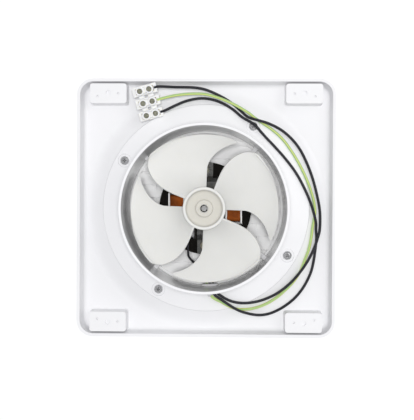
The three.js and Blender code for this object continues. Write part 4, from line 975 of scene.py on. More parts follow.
def corner_pad(s, sx, sy):
    """One mounting pad, with the cutters for the space under it and for its holes."""
    half = s.size / 2
    x0, x1 = sorted(sx * (half - d) for d in PAD_SPAN_X)
    y0, y1 = sorted(sy * (half - d) for d in PAD_SPAN_Y)
    foot = rectangle(x0 - PAD_LEAN, x1 + PAD_LEAN, y0 - PAD_LEAN, y1 + PAD_LEAN, 2.5 * MM)
    pad = prism("pad", foot, s.floor - MM, s.depth)
    with editing(pad):
        pick(pad, lambda middle, normal: normal.z > 0.9)
        narrower = [(high - low) / (high - low + 2 * PAD_LEAN) for low, high in ((x0, x1), (y0, y1))]
        centre = ((x0 + x1) / 2, (y0 + y1) / 2, s.depth)
        bpy.ops.transform.resize(value=(*narrower, 1), center_override=centre)
    split(pad, [sx * (half - x * MM) for x, y, radius in PAD_HOLES], ())
    under = s.depth - PAD_WALL
    inside = rectangle(x0 + PAD_WALL, x1 - PAD_WALL, y0 + PAD_WALL, y1 - PAD_WALL, MM)
    holes = []
    for x, y, radius in PAD_HOLES:
        at = sx * (half - x * MM), sy * (half - y * MM)
        holes.append(cylinder("hole", radius * MM, under + PAD_FLOOR, s.depth + MM, *at, sides=28))
    return pad, prism("hollow", inside, -MM, under), holes


def seat_profile(s, hole, flange, edge):
    """The round seat: flat under the flange, steepest just outside it, then easing down to the floor."""
    crown, shoulder = s.floor + s.rise, flange - SEAT_SHOULDER
    top = [(hole, crown), (shoulder, crown)]
    steps = 16
    for k in range(1, steps + 1):
        t = k / steps
        fall = 0.12 * t + 0.88 * (3 * t**2 - 2 * t**3)
        top.append((shoulder + (edge - shoulder) * t**0.9, crown - s.rise * fall))
    # The underside follows the top, drawn in along the slope so that the wall doesn't thin out there.
    under = [(r - (1.2 * MM if z < crown - MM else 0), z - s.floor_wall) for r, z in reversed(top)]
    return top + under


class FAN_OT_tray(bpy.types.Operator):
    """Shape the square tray with its round seat, its corner pads and the recess behind the grille"""

    bl_idname = "fan.tray"
    bl_label = "Tray"

    def execute(self, context):
        s = context.scene.fan_tray
        spigot = context.scene.fan_spigot
        flange = spigot.radius + spigot.flange
        seat_edge = flange + SEAT_SPREAD
        half = s.size / 2

        def lean_in(z):
            grow(1 - 2 * s.draft * (1 - z / s.depth) / s.size)

        tray = rounded_square("tray", s.size, s.corner, s.depth)
        with editing(tray):
            extrude(LIP - s.depth)
            lean_in(LIP)
            inset(1.4 * MM, -LIP)
            inset(2.35 * MM)
            extrude(s.recess)
            close_up()
            pick(tray, lambda middle, normal: middle.z > s.depth - 0.1 * MM)
            inset(s.wall)
            extrude(s.floor + s.fillet - s.depth)
            lean_in(s.floor + s.fillet)
            steps = 6
            for k in range(steps):
                a, b = (math.pi / 2 * (k + i) / steps for i in (0, 1))
                inset(s.fillet * (math.cos(a) - math.cos(b)), s.fillet * (math.sin(a) - math.sin(b)))
            close_up()
        middle_x, middle_y = (half - sum(span) / 2 for span in (PAD_SPAN_X, PAD_SPAN_Y))
        split(tray, (-middle_x, 0, middle_x), (-middle_y, 0, middle_y))
        cut(tray, cylinder("tool", seat_edge - MM, -MM, s.floor + MM, sides=160))
        profile = seat_profile(s, spigot.radius + 1.75 * MM, flange, seat_edge)
        unite(tray, turned("seat", profile, 160))
        corners = [corner_pad(s, sx, sy) for sx in (-1, 1) for sy in (-1, 1)]
        unite(tray, joined([pad for pad, hollow, holes in corners]))
        cut(tray, *(hollow for pad, hollow, holes in corners))
        cut(tray, *(hole for pad, hollow, holes in corners for hole in holes))
        on_circle = FLANGE_SCREW_ANGLES, spigot.screw_circle
        boss_top = s.floor + s.rise - s.floor_wall + MM
        unite(tray, joined(bars("boss", *on_circle, 4 * MM, 6.5 * MM, boss_top, 24)))
        cut(tray, *bars("bore", *on_circle, SCREW_BORE, 0, s.depth, 24))
        softened(tray, 0.5 * MM, 3, 42)
        fit(tray, "fascia_tray", "tray_plastic")
        return {"FINISHED"}


class FAN_OT_grille(bpy.types.Operator):
    """Make the front panel with its round louvre of slanted slats"""

    bl_idname = "fan.grille"
    bl_label = "Grille"

    def execute(self, context):
        radius, ring, rim_top, panel = 70 * MM, 2.5 * MM, 4.9 * MM, 3.2 * MM
        low, high, thick = 0.4 * MM, 7.2 * MM, 1.7 * MM
        pitch, slit, first = 12.2 * MM, 1.1 * MM, 9 * MM
        grille = rounded_square("grille", 225.7 * MM, 9.3 * MM, rim_top)
        with editing(grille):
            extrude(MM - rim_top)
            inset(0.5 * MM, -0.7 * MM)
            inset(0.5 * MM, -0.3 * MM)
            inset(7 * MM)
            inset(0.7 * MM, 0.5 * MM)
            close_up()
            pick(grille, lambda middle, normal: middle.z > rim_top - 0.1 * MM)
            inset(2 * MM)
            extrude(panel - rim_top)
            close_up()
        split(softened(grille, 0.4 * MM, 2, 42))
        cut(grille, cylinder("tool", radius + ring / 2, -MM, 10 * MM, sides=144))
        section = rectangle(radius, radius + ring, low, high + 0.2 * MM, 0.5 * MM, 3)
        hoop = turned("hoop", section, 144)
        slats = []
        k = -math.ceil(radius / pitch) - 1
        while first + k * pitch < radius - 3 * MM:
            y0 = first + k * pitch + slit / 2
            y1 = y0 + pitch - slit
            k += 1
            if y1 < 3 * MM - radius:
                continue
            section = [(y0, high), (y0, high - thick), (y1, low), (y1, low + thick)]
            slats.append(across("slat", rounded(section, 0.5 * MM, 3), -radius - ring, radius + ring))
        for x in (-48.6 * MM, 48.6 * MM):
            section = rectangle(x - 0.9 * MM, x + 0.9 * MM, low, 4.4 * MM, 0.3 * MM, 2)
            slats.append(upright("rib", section, -radius - MM, radius + MM))
        for slat in slats:
            combined(slat, [cylinder("rim", radius + ring / 2, 0, 10 * MM, sides=144)], "INTERSECT")
        fit(joined([grille, hoop, *slats]), "front_grille", "grille_plastic")
        return {"FINISHED"}


# ---------------------------------------------------------------- spigot, its screws and its gland
def gland_slot(name, half_width, half_height, x0, x1):
    z0, z1 = GLAND_HEIGHT - half_height, GLAND_HEIGHT + half_height
    return turn(block(name, x0, x1, -half_width, half_width, z0, z1), GLAND_ANGLE)


class FAN_OT_spigot(bpy.types.Operator):
    """Turn the duct spigot with its flange, and add the motor's four arms and the screw bosses"""

    bl_idname = "fan.spigot"
    bl_label = "Duct spigot"

    def execute(self, context):
        s = context.scene.fan_spigot
        motor = context.scene.fan_motor
        inner, outer, flange = s.radius - s.wall, s.radius, s.radius + s.flange
        root = s.seat + s.root
        section = [
            ((inner, s.front), 0.5),
            ((outer, s.front), 0.5),
            ((outer, s.seat), 0.3),
            ((flange, s.seat), 0.3),
            ((flange, s.seat + s.edge), 1.1),
            ((outer + 3.2 * MM, root), 1.5),
            ((outer + 1.0 * MM, root + 0.5 * MM), 1.0),
            ((outer, root + 2 * MM), 1.0),
            ((outer, s.rear), 0.9),
            ((inner, s.rear), 0.7),
        ]
        spigot = turned("spigot", profiled(section), 180)
        boss_top = motor.front - GAP
        inside = motor.screw_circle - 5 * MM
        section = [
            ((inside + MM, s.front), 0),
            ((inner + MM, s.front), 0),
            ((inner + MM, boss_top + 7 * MM), 0),
            ((inner - 6 * MM, boss_top + 3 * MM), 6),
            ((motor.screw_circle + 5 * MM, boss_top), 4),
            ((inside + MM, boss_top), 0),
        ]
        arm = upright("arm", profiled(section), -2 * MM, 2 * MM)
        unite(arm, cylinder("boss", 5 * MM, s.front, boss_top, motor.screw_circle, 0, 40))
        softened(arm, 0.45 * MM, 2, 50)
        cut(arm, cylinder("bore", 2 * MM, s.front + 1.2 * MM, boss_top + MM, motor.screw_circle, 0, 24))
        arms = [turn(twin(arm, "arm"), angle) for angle in ARM_ANGLES]
        discard(arm)
        unite(spigot, joined(arms))
        seat, seat_top = s.seat + MM, s.seat + FLANGE_BOSS
        section = [((0, seat), 0), ((7.2 * MM, seat), 0), ((6.1 * MM, seat_top), 0.7), ((0, seat_top), 0)]
        bosses = []
        for angle in FLANGE_SCREW_ANGLES:
            bosses.append(move(turned("boss", profiled(section), 40, False), *polar(s.screw_circle, angle)))
        unite(spigot, joined(bosses))
        on_circle = FLANGE_SCREW_ANGLES, s.screw_circle
        bores = bars("bore", *on_circle, SCREW_BORE, s.seat - MM, seat_top + MM, 24)
        slot = gland_slot("slot", 6 * MM, 2.6 * MM, inner - 2 * MM, outer + 2 * MM)
        cut(spigot, slot, *bores)
        fit(spigot, "duct_spigot", "spigot_plastic", smooth=32)
        return {"FINISHED"}


def cross_recess(head, floor, top):
    """A cutter for a cross recess that narrows as it goes down."""
    a, b = head * 0.60, head * 0.17
    outline = [(a, -b), (a, b), (b, b), (b, a), (-b, a), (-b, b)]
    outline += [(-x, -y) for x, y in outline]
    cross = prism("recess", outline, floor, top)
    with editing(cross):
        pick(cross, lambda middle, normal: normal.z < -0.5)
        grow(0.2, (0, 0, floor))
    return cross


def pan_screw(name, shank, tip, head, height):
    """A pan-head screw with a cross recess, its head's underside at zero."""
    section = [
        ((0, -tip), 0),
        ((shank * 0.35, -tip), 0),
        ((shank * 0.8, -tip + shank), 0),
        ((shank * 0.8, 0), 0),
        ((head * 0.97, 0), 0.15),
        ((head, height * 0.42), 0.9),
        ((head * 0.62, height * 0.97), 1.6),
        ((0, height), 0),
    ]
    screw = turned(name, profiled(section, 4), 48, False)
    pitch = 0.9 * MM
    turns = int((tip - 2 * shank) / pitch)
    helix = []
    for k in range(turns * 12):
        x, y = polar(shank * 0.86, k * 30)
        helix.append(Vector((x, y, -0.8 * MM - k * pitch / 12)))
    thread = tube("thread", helix, 0.24 * MM, 1)
    cut(screw, cross_recess(head, height * 0.12, height + MM))
    softened(screw, 0.12 * MM, 2, 40)
    return joined([screw, thread])


def drive(screw, name, slot, angles, circle, under, turns):
    """Set copies of a screw on a circle, each turned its own way, and take the first one away."""
    for i, (angle, own) in enumerate(zip(angles, turns), 1):
        copy = turn(twin(screw, f"{name}_head_{i}"), own)
        fit(move(copy, *polar(circle, angle), under), f"{name}_{i}", slot)
    discard(screw)


class FAN_OT_flange_screws(bpy.types.Operator):
    """Drive the four pan-head screws through the flange"""

    bl_idname = "fan.flange_screws"
    bl_label = "Flange screws"

    def execute(self, context):
        s = context.scene.fan_spigot
        under = s.seat + FLANGE_BOSS + GAP
        screw = pan_screw("flange_screw", 1.5 * MM, under - FLANGE_TIP, s.screw_head, 2.4 * MM)
        turns = (12, 55, 31, 74)
        drive(screw, "flange_screw", "dark_steel", FLANGE_SCREW_ANGLES, s.screw_circle, under, turns)
        return {"FINISHED"}


class FAN_OT_gland(bpy.types.Operator):
    """Mould the rubber gland where the leads pass through the spigot's wall"""

    bl_idname = "fan.gland"
    bl_label = "Cable gland"

    def execute(self, context):
        s = context.scene.fan_spigot
        inner = s.radius - s.wall
        deep, wide, high = 9 * MM, 5.4 * MM, 2.7 * MM
        sides = NOSE_CENTRE - wide, NOSE_CENTRE + wide
        nose = block("gland", NOSE_FACE - deep, NOSE_FACE, *sides, GLAND_HEIGHT - high, GLAND_HEIGHT + high)
        softened(nose, 1.1 * MM, 4)
        for place in (-1, 0, 1):
            y = NOSE_CENTRE + place * LEAD_PITCH
            collar = turn(cylinder("collar", 1.45 * MM, -2 * MM, 2 * MM), 90, "Y")
            cut(nose, move(collar, NOSE_FACE + 0.6 * MM, y, LEAD_HEIGHT))
        turn(nose, NOSE_ANGLE)
        cut(nose, cylinder("tool", s.radius + GAP, 0, s.rear, sides=120))
        neck = gland_slot("neck", 5.7 * MM, 2.3 * MM, inner - 2 * MM, s.radius + 1.8 * MM)
        lip = gland_slot("lip", 7.4 * MM, 3.3 * MM, inner - 2.3 * MM, inner)
        softened(neck, 0.5 * MM)
        softened(lip, 0.8 * MM, 3)
        combined(lip, [cylinder("tool", inner - 0.4 * MM, 0, s.rear, sides=120)], "INTERSECT")
        unite(nose, neck, lip)
        fit(nose, "cable_gland", "gland_rubber")
        return {"FINISHED"}


# ---------------------------------------------------------------- impeller and shaft
def blade_point(s, r, t):
    """The blade's middle surface at a radius, t running from its rear edge to its front edge."""

    def draw_in(corner):
        past = max(r - (s.tip - corner), 0)
        return math.degrees((corner - math.sqrt(max(corner**2 - past**2, 0))) / r)

    span = r / s.tip * 66  # the edges were taken from the photo at a tip radius of 66 mm
    near = -64.5 + 14.5 * ((span - 34) / 32) ** 2 + draw_in(6 * MM)
    deep = 2.8 + 26 * (max(span - 36, 0) / 31) ** 1.5 - draw_in(2.5 * MM)
    camber = 0.1 * math.sin(math.pi * t)
    x, y = polar(r, 90 - (near + (deep - near) * t))
    return Vector((x, y, s.rear - (s.rear - s.front) * (t + camber)))


class FAN_OT_impeller(bpy.types.Operator):
    """Mould the impeller: a cupped hub with its boss, and twisted blades"""

    bl_idname = "fan.impeller"
    bl_label = "Impeller"

    def execute(self, context):
        s = context.scene.fan_impeller
        shaft = context.scene.fan_motor.shaft + GAP
        wall = s.hub - 2.6 * MM
        web, rim, skirt = 68 * MM, 75.5 * MM, 52.5 * MM
        boss = 7.5 * MM
        section = [
            ((wall, skirt), 0.5),
            ((s.hub - 0.3 * MM, skirt), 0.7),
            ((s.hub, rim), 1.1),
            ((wall, rim), 1.1),
            ((wall - 0.6 * MM, web + 2 * MM), 2.2),
            ((boss, web + 2 * MM), 1.3),
            ((boss - 0.2 * MM, web + 5 * MM), 0.7),
            ((shaft, web + 5 * MM), 0.3),
            ((shaft, web - 10 * MM), 0.3),
            ((boss - 0.5 * MM, web - 10 * MM), 0.5),
            ((boss - 0.5 * MM, web), 0.8),
            ((wall - 0.6 * MM, web), 1.2),
        ]
        hub = turned("impeller_moulding", profiled(section), 128)
        root = wall + 1.3 * MM
        alone()
        bpy.ops.mesh.primitive_grid_add(x_subdivisions=30, y_subdivisions=44, size=1)
        blade = named("blade")
        for vertex in blade.data.vertices:
            t, out = vertex.co.x + 0.5, vertex.co.y + 0.5
            vertex.co = blade_point(s, root + (s.tip - root) * (1 - (1 - out) ** 1.35), t)
        modified(blade, "SOLIDIFY", thickness=s.thick * 0.9, offset=0, use_even_offset=True)
        with editing(blade):
            close_up()
        softened(blade, 0.65 * MM, 3, 50)
        blades = [turn(twin(blade, "blade"), 360 / s.blades * i) for i in range(s.blades)]
        discard(blade)
        fit(joined([hub, *blades]), "impeller", "impeller_plastic", ROTOR, smooth=40)
        return {"FINISHED"}


class FAN_OT_shaft(bpy.types.Operator):
    """Turn the shaft and press its clip on"""

    bl_idname = "fan.shaft"
    bl_label = "Shaft and clip"

    def execute(self, context):
        r = context.scene.fan_motor.shaft
        low, high = SHAFT_LOW.z, SHAFT_HIGH.z
        edge = 0.5 * MM
        section = [(0, low), (r - edge, low), (r, low + edge), (r, high - edge), (r - edge, high)]
        section += [(0.7 * MM, high), (0, high - edge)]  # the centre mark in its end
        fit(turned("shaft_bar", section, 48, False), "shaft", "shaft_steel", ROTOR)
        outline = rounded([polar(3.9 * MM, 60 * k) for k in range(6)], 0.35 * MM, 3)
        clip = prism("shaft_clip", outline, 73.3 * MM, 74.5 * MM)
        through_clip = 73 * MM, 75 * MM
        teeth = []
        for k in range(6):
            tooth = block("tooth", 0, 3.3 * MM, -0.25 * MM, 0.25 * MM, *through_clip)
            teeth.append(turn(tooth, 60 * k + 30))
        cut(clip, cylinder("bore", r + GAP, *through_clip, sides=36))
        cut(clip, unite(teeth[0], *teeth[1:]))
        softened(clip, 0.15 * MM, 2, 40)
        fit(clip, "impeller_clip", "spring_steel", ROTOR)
        return {"FINISHED"}


# ---------------------------------------------------------------- motor
MOTOR_HOLE = 2.2 * MM  # radius of the holes for its screws and bolts
MOTOR_TIP = 13 * MM  # height of the tips of its screws
BOLT_ANGLES = (-90, 90)
HEX_RADIUS = 3.6 * MM  # of the bolts' heads and nuts, over their corners
STRAP = 2 * MM  # thickness of a bearing strap


class FAN_OT_stator(bpy.types.Operator):
    """Stack the stator with its four poles, and set the shading rings in their slots"""

    bl_idname = "fan.stator"
    bl_label = "Stator"

    def execute(self, context):
        s = context.scene.fan_motor
        z0, z1 = s.front, s.front + s.thick
        below, above = z0 - MM, z1 + MM
        window, side = 33.9 * MM, 15 * MM
        core = cylinder("stator", s.radius, z0, z1, sides=96)
        unite(core, joined(bars("ear", ARM_ANGLES, s.screw_circle, 4.6 * MM, z0, z1, 32)))
        cut(core, cylinder("tool", s.inner, below, above, sides=96))
        cut(core, block("tool", -window, window, -side, side, below, above))
        teeth = cylinder("teeth", s.shoe, z0, z1, sides=72)
        unite(
            teeth,
            block("neck", -window - MM, window + MM, -7 * MM, 7 * MM, z0, z1),
            block("pole", -10 * MM, 10 * MM, -s.inner - 2 * MM, s.inner + 2 * MM, z0, z1),
        )
        cut(teeth, cylinder("tool", s.bore, below, above, sides=72))
        opening = s.shoe * math.sin(math.radians(7))
        for pole in (0, 90, 180, 270):
            gap = block("tool", 0, s.shoe + 1.5 * MM, -opening, opening, below, above)
            cut(teeth, turn(gap, pole + 45))
            shade = block("tool", s.bore - MM, s.shoe - 1.3 * MM, -4.85 * MM, -2.75 * MM, below, above)
            cut(teeth, turn(shade, pole + 29))
        unite(core, teeth)
        holes = bars("hole", ARM_ANGLES, s.screw_circle, MOTOR_HOLE, below, above, 20)
        holes += bars("hole", BOLT_ANGLES, s.bolt_circle, MOTOR_HOLE, below, above, 20)
        cut(core, *holes)
        softened(core, 0.2 * MM, 1, 50)
        fit(core, "stator_core", "lamination_steel")
        low, high = z0 - GAP, z1 + GAP
        for i in range(4):
            name = f"shading_bar_{i + 1}"
            outline = rectangle(-4.55 * MM, 4.95 * MM, low - 1.5 * MM, high + 1.5 * MM, 1.2 * MM, 4)
            bar = across(name, outline, s.shoe - 3.1 * MM, s.shoe - 1.6 * MM)
            inside = rectangle(-3.05 * MM, 3.45 * MM, low, high, 0.5 * MM, 3)
            cut(bar, across("tool", inside, s.bore, s.shoe))
            softened(bar, 0.25 * MM, 2, 50)
            fit(turn(bar, 90 * i + 29), f"shading_ring_{i + 1}", "copper_bar")
        return {"FINISHED"}


class FAN_OT_windings(bpy.types.Operator):
    """Mould the two bobbins and wind them"""

    bl_idname = "fan.windings"
    bl_label = "Windings"

    def execute(self, context):
        s = context.scene.fan_motor
        middle = s.front + s.thick / 2
        x0, flange = s.shoe + GAP, 1.3 * MM
        x1 = x0 + 15 * MM
        width, height = 14 * MM, 14.5 * MM
        neck_w, neck_h = 7.3 * MM, s.thick / 2 + GAP
        tube_w, tube_h = neck_w + MM, neck_h + MM

        def frame_of(name, w, h, corner, a, b):
            return across(name, rectangle(-w, w, middle - h, middle + h, corner), a, b)

        former = frame_of("bobbin", width, height, 2 * MM, x0, x0 + flange)
        softened(former, 0.3 * MM)
        far = softened(frame_of("far", width, height, 2 * MM, x1 - flange, x1), 0.3 * MM)
        unite(former, far, frame_of("sleeve", tube_w, tube_h, 0.8 * MM, x0, x1))
        cut(former, frame_of("tool", neck_w, neck_h, 0.4 * MM, x0 - MM, x1 + MM))
        # The winding: a full core under an outer layer of turns laid side by side.
        start, end, inset_by = x0 + flange + GAP, x1 - flange - GAP, 1.9 * MM
        core = frame_of("coil", width - inset_by, height - inset_by, 3.2 * MM, start, end)
        cut(core, frame_of("tool", tube_w + GAP, tube_h + GAP, 0.8 * MM, start - MM, end + MM))
        steps = 48
        pitch = (end - start) / s.turns
        wire = pitch * 0.52
        loops = []
        for k in range(s.turns * steps + 1):
            angle = 2 * math.pi * k / steps
            across_y, across_z = math.cos(angle), math.sin(angle)
            round_y, round_z = (math.copysign(abs(v) ** 0.36, v) for v in (across_y, across_z))
            lift = 0.10 * MM * math.sin(k * 0.061) + 0.07 * MM * math.sin(k * 0.173 + 1)
            across_by = 0.10 * MM * math.sin(k * 0.083 + 2)
            x = start + wire + (end - start - 2 * wire) * k / (s.turns * steps) + across_by
            y = (width - inset_by + lift) * round_y
            z = middle + (height - inset_by + lift) * round_z
            loops.append(Vector((min(max(x, start + wire), end - wire), y, z)))
        wound = joined([core, tube("turns", loops, wire, 1)])
        for side, angle in (("right", 0), ("left", 180)):
            fit(turn(twin(former, f"bobbin_frame_{side}"), angle), f"bobbin_{side}", "bobbin_plastic")
            fit(turn(twin(wound, f"winding_{side}"), angle), f"coil_{side}", "copper_winding", smooth=60)
        discard(former, wound)
        return {"FINISHED"}


class FAN_OT_bearings(bpy.types.Operator):
    """Press the two bearing straps and their bronze bearings"""

    bl_idname = "fan.bearings"
    bl_label = "Bearing straps"

    def execute(self, context):
        s = context.scene.fan_motor
        middle = s.front + s.thick / 2
        foot = s.front + s.thick + GAP
        top = foot + 6.7 * MM
        inner, reach = s.bolt_circle - 6 * MM, 41.3 * MM
        right = [
            ((inner - 4.4 * MM, top + STRAP + 0.5 * MM), 2.2),
            ((inner + MM, foot + STRAP), 1.2),
            ((reach, foot + STRAP), 0.3),
            ((reach, foot), 0.3),
            ((inner, foot), 2.2),
            ((inner - 5.5 * MM, top), 1.2),
        ]
        left = [((-a, b), r) for (a, b), r in reversed(right)]
        outline = profiled([*right, *left])
        strap = turn(upright("strap", outline, -7 * MM, 7 * MM), 90)
        slope = turn(upright("slope", outline, -14 * MM, 14 * MM), 90)
        span = block("tool", -15 * MM, 15 * MM, 10 * MM, inner - 0.4 * MM, foot, top + 3 * MM)
        combined(slope, [span], "INTERSECT")
        unite(strap, slope)
        softened(strap, 0.3 * MM, 2, 50)
        front = top - 2 * MM
        rear = front + 6 * MM
        cup = [(0, front), (9 * MM, front), (9 * MM, rear), (0, rear)]
        unite(strap, turned("cup", rounded(cup, [0, 0.3 * MM, 1.2 * MM, 0]), 48, False))
        cut(strap, cylinder("tool", 6.3 * MM, front - MM, rear - MM, sides=48))
        cut(strap, cylinder("tool", 4 * MM, front - MM, rear + MM, sides=40))
        cut(strap, *bars("hole", BOLT_ANGLES, s.bolt_circle, MOTOR_HOLE, foot - MM, foot + 4 * MM, 24))
        low, high = front + 0.1 * MM, front + 4.7 * MM
        bearing = turned("bearing", rectangle(2.8 * MM, 6 * MM, low, high, 0.4 * MM, 3), 48)
        for end in ("rear", "front"):
            for first, name, slot, node_name in (
                (strap, "strap", "strap_steel", "bearing_bridge"),
                (bearing, "bush", "bearing_bronze", "bearing"),
            ):
                made = twin(first, f"{end}_{name}")
                if end == "front":
                    move(turn(move(made, z=-middle), 180, "Y"), z=middle)
                fit(made, f"{end}_{node_name}", slot)
        discard(strap, bearing)
        return {"FINISHED"}


def hexagon(name, radius, low, high):
    """A hexagonal head or nut with its corners turned off at the top."""
    made = prism(name, [polar(radius, 60 * k) for k in range(6)], low, high)
    dome = [(0, low), (radius * 1.1, low), (radius * 1.02, high - 0.5 * MM)]
    dome += [(radius * 0.86, high), (0, high)]
    return combined(made, [turned("tool", dome, 48, False)], "INTERSECT")


class FAN_OT_motor_fixings(bpy.types.Operator):
    """Fit the motor's screws, its through-bolts and nuts, and the earth tag"""

    bl_idname = "fan.motor_fixings"
    bl_label = "Motor fixings"

    def execute(self, context):
        s = context.scene.fan_motor
        rear = s.front + s.thick
        under = rear + GAP
        screw = pan_screw("motor_screw", 1.7 * MM, under - MOTOR_TIP, 4 * MM, 2.5 * MM)
        drive(screw, "motor_screw", "screw_steel", ARM_ANGLES, s.screw_circle, under, (5, 40, 22, 63))
        low, thick = rear + 2 * GAP + STRAP, 0.8 * MM
        nut_top = s.front - 2 * GAP - STRAP
        for i, sign in enumerate((1, -1), 1):
            y = sign * s.bolt_circle
            seat = low + (thick + GAP if sign < 0 else 0)
            tip, bolt_radius = nut_top - 4 * MM, 1.9 * MM
            section = [(0, tip), (1.5 * MM, tip), (bolt_radius, tip + 0.4 * MM)]
            section += [(bolt_radius, seat), (0, seat)]
            bolt = turned(f"through_bolt_{i}", section, 32, False)
            head = hexagon("head", HEX_RADIUS, seat, seat + 2.8 * MM)
            softened(head, 0.12 * MM, 1, 40)
            fit(move(joined([bolt, head]), y=y), f"motor_bolt_{i}", "screw_steel")
            nut = hexagon(f"through_nut_{i}", HEX_RADIUS, nut_top - 3 * MM, nut_top)
            cut(nut, cylinder("tool", 2.1 * MM, nut_top - 4 * MM, nut_top + MM, sides=32))
            softened(nut, 0.12 * MM, 1, 40)
            fit(move(nut, y=y), f"motor_nut_{i}", "screw_steel")
        end = 47.3 * MM
        tag = cylinder("ring_tag", 4 * MM, low, low + thick, 0, -s.bolt_circle, 36)
        neck = 4 * MM - end, -s.bolt_circle - 3 * MM
        unite(tag, block("neck", -1.7 * MM, 1.7 * MM, *neck, low, low + thick))
        cut(tag, cylinder("tool", MOTOR_HOLE, low - MM, low + 2 * MM, 0, -s.bolt_circle, 32))
        softened(tag, 0.15 * MM, 2, 40)
        section = rectangle(1.1 * MM, 1.7 * MM, 0, 5 * MM, 0.2 * MM, 2)
        barrel = turn(turned("barrel", section, 32), 90, "X")
        move(barrel, 0, 5 * MM - end, rear + 4 * MM)
        fit(joined([tag, barrel]), "earth_tag", "brass")
        return {"FINISHED"}


class FAN_OT_rotor(bpy.types.Operator):
    """Turn the rotor core with its cast end rings"""

    bl_idname = "fan.rotor"
    bl_label = "Rotor core"

    def execute(self, context):
        s = context.scene.fan_motor
        rear = s.front + s.thick
        bore, ring = s.shaft + GAP, s.rotor - MM
        section = [
            ((bore, s.front - 3.5 * MM), 0.2),
            ((ring, s.front - 3.5 * MM), 0.8),
            ((ring, s.front - MM), 0.1),
            ((s.rotor, s.front - MM), 0.2),
            ((s.rotor, rear + MM), 0.2),
            ((ring, rear + MM), 0.1),
            ((ring, rear + 3.5 * MM), 0.8),
            ((bore, rear + 3.5 * MM), 0.2),
        ]
        core = turned("rotor_stack", profiled(section, 3), 72)
        fit(core, "rotor_core", "rotor_metal", ROTOR)
        return {"FINISHED"}


def inner_point(radius, place, out):
    """Where a lead meets the gland inside the spigot."""
    x, y = polar(radius - out, GLAND_ANGLE)
    tx, ty = polar(place * LEAD_PITCH, GLAND_ANGLE + 90)
    return Vector((x + tx, y + ty, GLAND_HEIGHT))


# For each inner lead: its place at the gland, and the same points as in the part's source.
INNER_ROUTES = {
    "coil_lead_right": (1, [
        (0.010, -0.061, 0.0295), (0.015, -0.052, 0.036), (0.0185, -0.0435, 0.041),
        (0.0205, -0.034, 0.0418), (0.0218, -0.025, 0.0414), (0.0257, -0.01278, 0.041),
    ]),
    "coil_lead_left": (0, [
        (0.0016, -0.062, 0.0246), (-0.006, -0.0545, 0.026), (-0.012, -0.0485, 0.033),
        (-0.015, -0.0435, 0.040), (-0.0155, -0.036, 0.0418), (-0.0162, -0.028, 0.0416),
        (-0.0212, -0.0198, 0.0413), (-0.0257, -0.01278, 0.041),
    ]),
    "earth_lead_inner": (-1, [
        (0.0009, -0.064, 0.0286), (0.0006, -0.059, 0.034), (0.0002, -0.0542, 0.0402),
        (0, -0.0503, 0.043), (0, -0.0476, 0.043),
    ]),
}


class FAN_OT_inner_leads(bpy.types.Operator):
    """Run the leads from the gland to the windings and to the earth tag"""

    bl_idname = "fan.inner_leads"
    bl_label = "Inner leads"

    def execute(self, context):
        spigot = context.scene.fan_spigot
        face = spigot.radius - spigot.wall - GAP - 2 * MM
        for name, (place, points) in INNER_ROUTES.items():
            ends = [inner_point(face, place, GAP), inner_point(face, place, LEAD_START)]
            path = through([*ends, *(Vector(p) for p in points)], 8)
            slot = "lead_earth" if name.startswith("earth") else "lead_black"
            lead = tube(name + "_run", path, context.scene.fan_leads.inner / 2, 4)
            fit(lead, name, slot, smooth=60)
        return {"FINISHED"}


def lay_in_block(piece, node_name, slot):
    """Finish a piece that was made in the terminal block's own frame, where the block lies."""
    piece.matrix_world = Matrix.Translation(BLOCK_PLACE) @ BLOCK_TURN.to_matrix().to_4x4()
    fit(piece, node_name, slot)


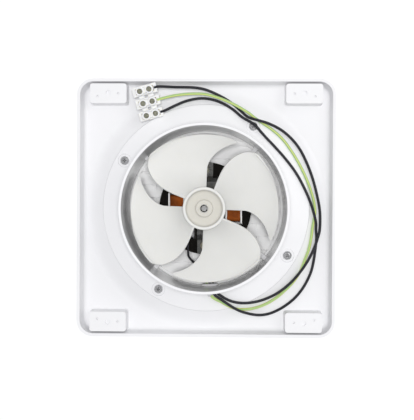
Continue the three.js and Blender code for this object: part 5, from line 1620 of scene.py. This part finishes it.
class FAN_OT_terminal_block(bpy.types.Operator):
    """Mould the three-way terminal block, with its brass tubes and clamp screws"""

    bl_idname = "fan.terminal_block"
    bl_label = "Terminal block"

    def execute(self, context):
        s = context.scene.fan_leads
        half = s.width / 2
        cell = s.pitch / 2 - 1.2 * MM
        offset = 4.35 * MM
        low, top = s.base - 2 * MM, s.height
        rows = [place * s.pitch for place in (-1, 0, 1)]
        wide, deep = half * 0.62, s.pitch + MM
        body = block("block_body", -wide, wide, -deep, deep, 0, s.base - 3 * MM)
        softened(body, 0.5 * MM)
        section = [((0, low), 0), ((4.15 * MM, low), 0), ((3.95 * MM, top), 0.6), ((0, top), 0)]
        cells, chimneys, ports = [], [], []
        for y in rows:
            cells.append(softened(block("cell", -half, half, y - cell, y + cell, 0, s.base), 0.8 * MM, 3))
            port = cylinder("port", 3.1 * MM, -half - MM, half + MM, sides=40)
            ports.append(move(turn(port, 90, "Y"), 0, y, PORT_HEIGHT))
            for x in (-offset, offset):
                chimneys.append(move(turned("chimney", profiled(section, 4), 40, False), x, y))
                ports.append(cylinder("bore", 2.45 * MM, PORT_HEIGHT, top + MM, x, y, 36))
            chimneys.append(block("link", -2 * MM, 2 * MM, y - 2.6 * MM, y + 2.6 * MM, low, top - MM))
        unite(body, joined(cells))
        unite(body, *chimneys)
        fixings = [cylinder("fixing", 1.6 * MM, -MM, s.base, 0, y, 24) for y in (-s.pitch / 2, s.pitch / 2)]
        cut(body, *ports, *fixings)
        lay_in_block(body, "terminal_block", "block_plastic")
        section = rectangle(1.9 * MM, 2.8 * MM, -BRASS_HALF, BRASS_HALF, 0.25 * MM, 3)
        tube_bar = turn(turned("tube", section, 40), 90, "Y")
        cut(tube_bar, *(cylinder("hole", 1.5 * MM, 0, 4 * MM, x, 0, 24) for x in (-offset, offset)))
        head = 2.8 * MM + GAP
        head_top = head + 2.2 * MM
        section = [
            ((0, 0.5 * MM), 0),
            ((1.0 * MM, 0.5 * MM), 0),
            ((1.2 * MM, 0.8 * MM), 0),
            ((1.2 * MM, head), 0),
            ((2.2 * MM, head), 0.15),
            ((2.2 * MM, head_top), 0.45),
            ((0, head_top), 0),
        ]
        screw = turned("clamp", profiled(section, 4), 40, False)
        cut(screw, block("slot", -0.35 * MM, 0.35 * MM, -3 * MM, 3 * MM, head + 1.1 * MM, head + 3 * MM))
        softened(screw, 0.08 * MM, 1, 45)
        turns = (20, 75, -35, 50, 8, -60)
        for i, y in enumerate(rows, 1):
            bar = move(twin(tube_bar, f"brass_tube_{i}"), 0, y, PORT_HEIGHT)
            lay_in_block(bar, f"terminal_tube_{i}", "brass")
            for k, x in ((2 * i - 1, -offset), (2 * i, offset)):
                own = turn(twin(screw, f"clamp_screw_{k}"), turns[k - 1])
                lay_in_block(move(own, x, y, PORT_HEIGHT), f"terminal_screw_{k}", "screw_steel")
        discard(tube_bar, screw)
        return {"FINISHED"}


# ---------------------------------------------------------------- panel and run
OPERATORS = [
    FAN_OT_camera,
    FAN_OT_stage,
    FAN_OT_tray,
    FAN_OT_grille,
    FAN_OT_spigot,
    FAN_OT_flange_screws,
    FAN_OT_gland,
    FAN_OT_impeller,
    FAN_OT_shaft,
    FAN_OT_stator,
    FAN_OT_windings,
    FAN_OT_bearings,
    FAN_OT_motor_fixings,
    FAN_OT_rotor,
    FAN_OT_inner_leads,
    FAN_OT_terminal_block,
    FAN_OT_leads,
]


class FAN_PT_panel(bpy.types.Panel):
    """Lists the fan's pieces and their sizes"""

    bl_idname = "FAN_PT_panel"
    bl_label = "Exhaust Fan"
    bl_space_type = "VIEW_3D"
    bl_region_type = "UI"
    bl_category = "Exhaust Fan"

    def draw(self, context):
        for kind in OPERATORS:
            self.layout.operator(kind.bl_idname)
        for key, kind in GROUPS.items():
            box = self.layout.box()
            box.label(text=kind.__name__)
            for field in kind.__annotations__:
                box.prop(getattr(context.scene, key), field)


CLASSES = [*GROUPS.values(), *OPERATORS, FAN_PT_panel]


def register():
    for kind in CLASSES:
        bpy.utils.register_class(kind)
    for key, kind in GROUPS.items():
        setattr(bpy.types.Scene, key, PointerProperty(type=kind))


def unregister():
    for key in GROUPS:
        delattr(bpy.types.Scene, key)
    for kind in reversed(CLASSES):
        bpy.utils.unregister_class(kind)


def main():
    register()
    for kind in OPERATORS:
        group, name = kind.bl_idname.split(".")
        getattr(getattr(bpy.ops, group), name)()


if __name__ == "__main__":
    main()
